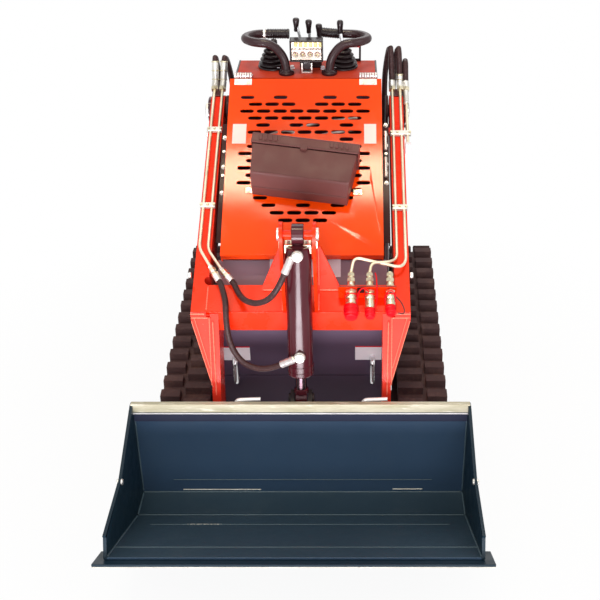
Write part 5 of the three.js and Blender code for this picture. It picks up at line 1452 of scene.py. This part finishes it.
def hoses():
    sleeves = []
    for name, x, foot, peak, back, up in ARM_HOSES:
        stops = arm_hose_stops(x, foot, peak, back, up)
        points = [Vector(stops[0])] + smooth_route(stops[1:], 24)
        hose_piece(name, points, ARM_HOSE_R)
        reach = ARM_CRIMPS.get(name)
        if reach:
            gone, held = 0.0, []
            for a, b in zip(points, points[1:]):
                gone += (b - a).length
                if reach[0] <= gone <= reach[1]:
                    held.append(b)
            sleeves.append(pipe("arm_crimp", [tuple(p) for p in held], 11.8, SILVER, 20))
            for at in (0, len(held) // 2, -1):
                way = (held[min(at + 1, len(held) - 1)] - held[at - 1 if at else 0]).normalized()
                sleeves.append(turned("crimp_ring", [(11.6, -2.4), (13, -1.4), (13, 1.4), (11.6, 2.4)],
                                      held[at], way, ZINC, 24, 50))
    ride(joined("arm_hose_crimps", *sleeves), "arms")
    for name, stops in TILT_HOSES.items():
        points = [Vector(stops[0])] + smooth_route(stops[1:], 30)
        hose_piece(name, points, TILT_HOSE_R)
        back = 46 if name.endswith("upper") else 44
        t = BANJO_UPPER if name.endswith("upper") else BANJO_LOWER
        # The crimped sleeve over the hose's last stretch, and its neck into the banjo.
        tail = points[-1]
        toward = (points[-1] - points[-4]).normalized()
        sleeve = ribbed("sleeve", tail - toward * back, tail + toward * 1.5, 11.4, SLEEVE, 2, 0.6)
        collar = hexagon("collar", tail - toward * 2, tail + toward * 5, 20, SILVER)
        neck = pipe("neck",
                    [tail + toward * 3, tail + toward * 7, Vector(on_tilt(-10, t + 3, 44)),
                     Vector(on_tilt(-4, t, 44))], 5.5, SILVER, 16)
        ride(joined(f"{name}_end", sleeve, collar, neck), "tilt_barrel")


hoses()


# ------------------------------------------------------------------ console and its controls

ON_TOP = CONSOLE_TOP + 0.4


def console():
    dressed("console", CONSOLE_ORANGE, 1.4)
    trim = []
    for s in (-1, 1):
        x0, x1 = sorted((s * 231, s * 237.4))
        trim.append(block("edge_trim", (x0, 337, 1107), (x1, 512.5, 1118), KNOB, 2.4))
    trim.append(block("front_seam", (-236, 336.8, 1108.5), (236, 339, 1112), FRAME_BLACK, 0.5))
    ride(joined("console_trim", *trim), "chassis")
    head = bolt("console_bolt", (0, 0, 0), (0, 0, 1), 15, LABEL)
    places = [Matrix.Translation(mm((x, y, CONSOLE_TOP))) for x,
              y in ((-97, 422), (-50, 432), (54, 425), (96, 425))]
    ride(copies("console_bolts", head, places), "chassis")
    remove(head)
    for side, s in SIDES:
        x0, x1 = sorted((s * 177, s * 235))
        step = (x1 - x0) / 7
        hinge = [block("console_leaf", (x0, 338, CONSOLE_TOP - 0.5), (x1, 366.5, CONSOLE_TOP + 3.5), SLEEVE,
                       1.0)]
        hinge.append(rod("hinge_pin", (x0 + 1, *HOOD_HINGE), (x1 - 1, *HOOD_HINGE), 3.4, FRAME_BLACK, 16))
        for i in range(7):
            curl = [(7.0, 0.1), (9.6, 1.2), (9.6, step - 1.4), (7.0, step - 0.3)]
            if i % 2:
                curl = [(r * 0.93, h) for r, h in curl]
            hinge.append(turned("knuckle", curl, (x0 + step * i, *HOOD_HINGE), (1, 0, 0), SLEEVE, 20, 50))
        ride(joined(f"console_hinge_{side}", *hinge), "chassis")


console()

HANDLEBARS = {
    "l": [(-66, 378, ON_TOP + 2), (-72, 384, 1170), (-112, 402, 1210), (-178, 408, 1213), (-214, 452, 1213),
          (-178, 505, 1211), (-120, 510, 1210), (-62, 510, 1210)],
    "r": [(77, 378, ON_TOP + 2), (83, 384, 1170), (120, 402, 1210), (178, 408, 1213), (214, 452, 1213),
          (178, 500, 1212), (105, 508, 1211), (44, 510, 1216)],
}


def handlebar(side):
    route = rounded_route(HANDLEBARS[side], 42, 9)
    parts = [
        pipe("bar", route, 14.6, GRIP, 28),
        turned("foot", [(26, 0), (26.4, 1.5), (26.4, 7), (22, 10.4), (17, 12.5), (15.5, 16)],
               (HANDLEBARS[side][0][0], 378, ON_TOP), (0, 0, 1), GRIP, 36, 30),
    ]
    ride(joined(f"handlebar_{side}_dressed", *parts), "chassis", f"handlebar_{side}")
    end, before = Vector(route[-1]), Vector(HANDLEBARS[side][-2])
    inward = (end - before).normalized()
    start = end - inward * 74
    profile = [(15.5, 0), (16.4, 2)]
    for i in range(8):
        profile += [(16.4, 6 + 8 * i), (15.4, 7.5 + 8 * i), (15.4, 9.5 + 8 * i), (16.4, 11 + 8 * i)]
    profile += [(16.8, 70), (16.8, 73.5), (14, 75.6)]
    ride(turned(f"grip_{side}", profile, start, inward, KNOB, 36, 30), "chassis")
    if side == "l":
        ring = turned("clip_ring", [(16.0, 0), (17.2, 1), (17.2, 8), (16.0, 9)], start - inward * 14,
                      inward, SILVER, 36)
        ride(ring, "chassis")


for side in ("l", "r"):
    handlebar(side)

DRIVE_LEVERS = {
    "l": {"at": (-118, 452), "head": (-112, 470, 1204), "knob": 12},
    "r": {"at": (124, 452), "head": (113, 472, 1268), "knob": 11},
}


def drive_lever(side):
    lever = DRIVE_LEVERS[side]
    x, y = lever["at"]
    head = Vector(lever["head"])
    rings, tall, wide, narrow = 5, 80, 47, 17
    profile = [(49, 0), (49, 3.5), (47, 5.2)]
    for i in range(rings):
        w = wide + (narrow - wide) * i / rings
        h = 6 + (tall - 10) * i / rings
        step = (tall - 10) / rings
        profile += [(w - 8, h + 0.6), (w - 2.5, h + step * 0.22), (w, h + step * 0.42),
                    (w - 1.5, h + step * 0.62), (w - 7, h + step * 0.86)]
    profile += [(narrow - 4, tall - 3), (8.5, tall - 2)]
    boot = turned("boot", profile, (x, y, ON_TOP), (0, 0, 1), KNOB, 40, 50)
    stem = rod("stem", (x, y, ON_TOP + 64), tuple(head - Vector((0, 0, 40))), 6, CHROME, 24)
    knob_r = lever["knob"]
    knob = turned("knob",
                  [(knob_r * 0.7, 0), (knob_r * 0.86, 4), (knob_r * 0.8, 12), (knob_r * 0.92, 26),
                   (knob_r, 34), (knob_r * 0.96, 41), (knob_r * 0.7, 45), (knob_r * 0.3, 46)],
                  tuple(head - Vector((0, 0, 46))), (0, 0, 1), KNOB, 32, 60)
    ride(joined(f"drive_lever_{side}_dressed", boot, stem, knob), "chassis", f"drive_lever_{side}")


for side in ("l", "r"):
    drive_lever(side)


def lever_guard():
    dressed("lever_guard", KNOB, 1.4)
    strip = block("guard_strip", (110, 503.2, ON_TOP + 48), (180, 504.2, ON_TOP + 57), CAP, 0.4)
    screws = [turned("guard_screw", [(4, -0.2), (3.8, 1.6), (2.2, 2.4)], (x, 503.4, ON_TOP + 52),
                     (0, -1, 0), SILVER, 16)
              for x in (146, 168)]
    ride(joined("guard_trim", strip, *screws), "chassis")


lever_guard()


def work_lamp():
    dressed("lamp_bracket", SILVER, 1.2)
    z0, z1 = ON_TOP + 41, ON_TOP + 113
    body = [
        block("shell_low", (-53, 374, z0), (57, 414, z0 + 6), KNOB, 2.5),
        block("shell_high", (-53, 374, z1 - 6), (57, 414, z1), KNOB, 2.5),
        block("shell_l", (-53, 374, z0), (-47, 414, z1), KNOB, 2.5),
        block("shell_r", (51, 374, z0), (57, 414, z1), KNOB, 2.5),
        block("shell_back", (-50, 384, z0 + 3), (54, 413, z1 - 3), KNOB, 3),
        block("neck", (-10, 380, ON_TOP + 12), (14, 394, ON_TOP + 41), KNOB, 2),
        block("rim_low", (-53, 371.6, z0 - 0.0), (57, 376, z0 + 5), KNOB, 2),
        block("rim_high", (-53, 371.6, z1 - 5), (57, 376, z1), KNOB, 2),
        block("rim_l", (-53, 371.6, z0), (-48, 376, z1), KNOB, 2),
        block("rim_r", (52, 371.6, z0), (57, 376, z1), KNOB, 2),
        block("mullion", (-48, 373.0, z0 + 42), (52, 378, z0 + 45), KNOB, 1),
    ]
    for i in range(7):
        x = -42 + 14.4 * i
        body.append(block("fin", (x, 404, z0 + 6), (x + 4, 413.6, z1 - 2), KNOB, 1))
    ride(joined("work_lamp_dressed", *body), "chassis", "work_lamp")
    face = block("lamp_back", (-46.6, 377, z0 + 6.4), (50.6, 379.5, z1 - 6.4), DISH, 0.5)
    dishes = [face]
    for i in range(4):
        x = -34.4 + 24.2 * i
        dishes.append(turned("dish",
                             [(10.8, 0), (11.4, 0.6), (11.4, 2.2), (9.6, 2.2), (6.5, 0.2), (3.0, -0.8)],
                             (x, 377, z0 + 24), (0, -1, 0), DISH, 28, 50))
        dishes.append(turned("led", [(3.2, 0), (3.0, 1.2), (1.6, 2.2)], (x, 377, z0 + 24), (0, -1, 0), LED,
                             16, 60))
    for i in range(6):
        x = -38.5 + 16.2 * i
        dishes.append(block("led_cell", (x, 374.4, z0 + 49), (x + 12.6, 378, z0 + 67), LED, 1.6))
    ride(joined("lamp_face_dressed", *dishes), "chassis", "lamp_face")


LED = moulded("lamp_led", tone(204, 192, 116), tone(214, 206, 150), 0.25, 120.0, depth=0.0002)
DISH = metal("lamp_dish", tone(196, 184, 170), 0.25, tone(176, 160, 146), metallic=0.6)
work_lamp()


def aux_levers():
    top = ON_TOP + 60
    parts = [block("quadrant", (-24, 432, ON_TOP), (50, 480, top), KNOB, 4),
             block("quadrant_lip", (-26, 430, top - 8), (52, 482, top - 3), KNOB, 2)]
    for x, head_x, high in ((-12, -34, 1278), (12, 8, 1272), (36, 42, 1258)):
        foot, head = Vector((x, 456, top - 8)), Vector((head_x, 462, high - 14))
        parts.append(turned("gaiter", [(10, 0), (11, 2), (9, 5), (9.6, 7), (7.6, 10), (8, 12), (6, 15)],
                            (x, 456, top - 1), (0, 0, 1), KNOB, 24, 50))
        parts.append(rod("stem", foot, head, 5, CHROME, 20))
        knob = (head_x, 462, high - 45)
        parts.append(turned("knob",
                            [(6.5, 0), (8, 3), (7.6, 12), (9.6, 26), (11.4, 36), (10.6, 42), (7, 44.6),
                             (3, 45.0)], knob, (0, 0.02, 1), KNOB, 28, 60))
    ride(joined("aux_levers_dressed", *parts), "chassis", "aux_levers")


aux_levers()


# ------------------------------------------------------------------ bucket and hitch

BACK_LONG = math.dist(FOLD, RIM)
FLOOR_LONG = math.dist(TIP, HEEL)


def back(t, n):
    return on_back(0, t, n)[1:]


def floor_at(t, n):
    """A side-view point on the bucket's floor: distance back from the tip, height above."""
    dy, dz = (HEEL[0] - TIP[0]) / FLOOR_LONG, (HEEL[1] - TIP[1]) / FLOOR_LONG
    return (TIP[0] + dy * t - dz * n, TIP[1] + dz * t + dy * n)


def ribbon(path, low, high):
    """An outline along a side-view path, from a distance under it to one over it."""
    def shifted(d):
        out = []
        for i, p in enumerate(path):
            a, b = path[max(0, i - 1)], path[min(len(path) - 1, i + 1)]
            dy, dz = b[0] - a[0], b[1] - a[1]
            long = math.hypot(dy, dz)
            out.append((p[0] + d * dz / long, p[1] - d * dy / long))
        return out
    return shifted(low) + shifted(high)[::-1]


def bucket():
    shell = dressed("bucket", BUCKET, 1.6, 2)
    shell.data.materials.append(SHADED_SLATE)
    shell.data.materials.append(LIT_BUCKET_BACK)
    # The cheeks and the back have tones of their own by which way a face points: the cheeks a darker slate,
    # painted shade, and the back a lighter, bluer slate, painted light.
    for face in shell.data.polygons:
        if abs(face.normal.x) > 0.7:
            face.material_index = 1
        elif face.normal.y < -0.55:
            face.material_index = 2
    dressed("cutting_edge", SHADED_SLATE, 1.6, 2)
    blade = plate("blade_edge", [
        floor_at(5.4, -8.9), floor_at(7.7, -12.3), floor_at(10.5, -12.3), floor_at(10.5, -11),
        floor_at(8, -8.9),
    ], -530, 530, BARE, 0.3)
    ride(blade, "bucket")
    # The fold under the rim, in the darker purple slate: painted shade.
    fold = [back(BACK_LONG - 62, -8.2), back(BACK_LONG - 62, -10.2), back(BACK_LONG - 33, -13.6),
            back(BACK_LONG - 33, -8.2)]
    ride(plate("lip_fold", fold, -497, 497, SHADED_LIP, 0.6), "bucket")
    cap = plate("rim_cap",
                [back(BACK_LONG - 27, -16.2), back(BACK_LONG + 0.9, -16.2), back(BACK_LONG + 0.9, 0.8),
                 back(BACK_LONG - 12, 0.8), back(BACK_LONG - 12, -14), back(BACK_LONG - 27, -14)],
                -503, 503, RIM_STEEL, 0.8)
    ride(cap, "bucket")
    # Strips along the cheeks' edges, in the darker slate: painted shade.
    edges = []
    top = [(RIM[0] - 14, RIM[1] - 2.5), (-733, 332), (-945, 328), floor_at(34, 61)]
    for s in (-1, 1):
        x0, x1 = sorted((s * 496.4, s * 505.6))
        edges.append(plate("cheek_edge", ribbon(top, -1.5, 1.4), x0, x1, SHADED_SLATE, 0.6))
        front = [floor_at(33.2, 61), floor_at(33.2, 2)]
        edges.append(plate("cheek_front", ribbon(front, -1.2, 1.2), x0, x1, SHADED_SLATE, 0.6))
    ride(joined("bucket_edge_strips_painted_shade", *edges), "bucket")
    beads = [
        weld("fold_weld", (-495, *back(9, -9.5)), (495, *back(9, -9.5)), 2.6, WELD_SLATE_HIGHLIGHT, 4),
        weld("heel_weld", (-495, HEEL[0] + 2, HEEL[1] + 9.0), (495, HEEL[0] + 2, HEEL[1] + 9.0), 2.0,
             WELD_SLATE_HIGHLIGHT, 4),
        weld("edge_weld", (-500, *floor_at(111, 7.6)), (500, *floor_at(111, 7.6)), 1.8, WELD_SLATE_HIGHLIGHT, 4),
        weld("wear_plate_weld", (-440, *floor_at(310, 7.6)), (440, *floor_at(310, 7.6)), 1.6, WELD_SLATE_HIGHLIGHT, 5),
        weld("back_plate_weld", (-400, *back(55, -8.0)), (400, *back(55, -8.0)), 1.2, WELD_SLATE_HIGHLIGHT, 5),
        weld("lip_weld", (-495, *back(BACK_LONG - 33, -8.6)), (495, *back(BACK_LONG - 33, -8.6)), 1.8,
             WELD_SLATE_HIGHLIGHT, 4),
    ]
    for s in (-1, 1):
        beads.append(weld("side_weld", (s * 496, *back(14, -8)), (s * 496, *back(BACK_LONG - 30, -8)), 2.6,
                          WELD_SLATE_HIGHLIGHT, 4))
        beads.append(weld("side_weld", (s * 496, *floor_at(40, 8)), (s * 496, *floor_at(FLOOR_LONG - 8, 8)),
                          2.6, WELD_SLATE_HIGHLIGHT, 4))
        beads.append(weld("side_weld", (s * 496, HEEL[0] + 6, HEEL[1] + 8),
                          (s * 496, FOLD[0] - 10, FOLD[1] + 9), 2.6, WELD_SLATE_HIGHLIGHT, 4))
    ride(joined("bucket_welds", *beads), "bucket")
    # Thin bright strips, painted highlights: glints along the fold and on the wear plate's edge, and bright lines
    # along the fold and under the rim.
    shine = [
        pipe("fold_painted_highlight", [(x, *back(17, -7.6)) for x in (-372, -130)], 1.6, BARE, 10),
        pipe("fold_painted_highlight", [(x, *back(19, -7.6)) for x in (280, 372)], 1.8, BARE, 10),
        pipe("fold_highlight_line", [(x, *back(8, -8.6)) for x in (-440, 440)], 1.0, SILVER, 10),
        pipe("wear_plate_highlight", [(x, *floor_at(310, 7.9)) for x in (-330, -230)], 1.4, BARE, 10),
    ]
    shine.append(pipe("rim_highlight_line", [(x, *back(BACK_LONG - 31.5, -15.2)) for x in (-500, 500)], 1.5,
                      LATCH_STEEL, 10))
    ride(joined("bucket_painted_highlights", *shine), "bucket")
    button = [(9, -0.3), (9, 3), (7, 5)]
    eyes = [turned("cheek_bolt", button, (s * 505, -739, 326), (s, 0, 0), SILVER, 28) for s in (-1, 1)]
    eyes += [turned("cheek_bolt_in", button, (s * 497, -739, 326), (-s, 0, 0), SILVER, 28) for s in (-1, 1)]
    ride(joined("bucket_cheek_bolts", *eyes), "bucket")


def hitch():
    dressed("hitch_plate", FRAME_BLACK, 1.8, 2)
    parts = []
    for x in (-196, 182):
        y = back(322, 10)[0]
        route = rounded_route([(x, back(300, 10)[0], 388), (x + 4, y, 424), (x + 76, y + 4, 424)], 14, 6)
        parts.append(pipe("latch_bar", route, 5.9, LATCH_STEEL, 20))
    ride(joined("latch_bars", *parts), "bucket")
    heads = []
    for s in (-1, 1):
        heads.append(turned("pin_head", [(21, 0), (21, 3), (19, 5), (8, 5.2), (7, 3.6)],
                            (s * 287, *BUCKET_PIN), (s, 0, 0), SILVER, 32))
        heads.append(turned("rod_pin_head", [(17.6, 0), (17.6, 5.4), (15.6, 7.0), (7, 7.2)],
                            (s * 31.6, *TILT_ROD), (s, 0, 0), FRAME_BLACK, 32))
    ride(joined("hitch_pin_heads", *heads), "bucket")


bucket()
hitch()


# ------------------------------------------------------------------ the end
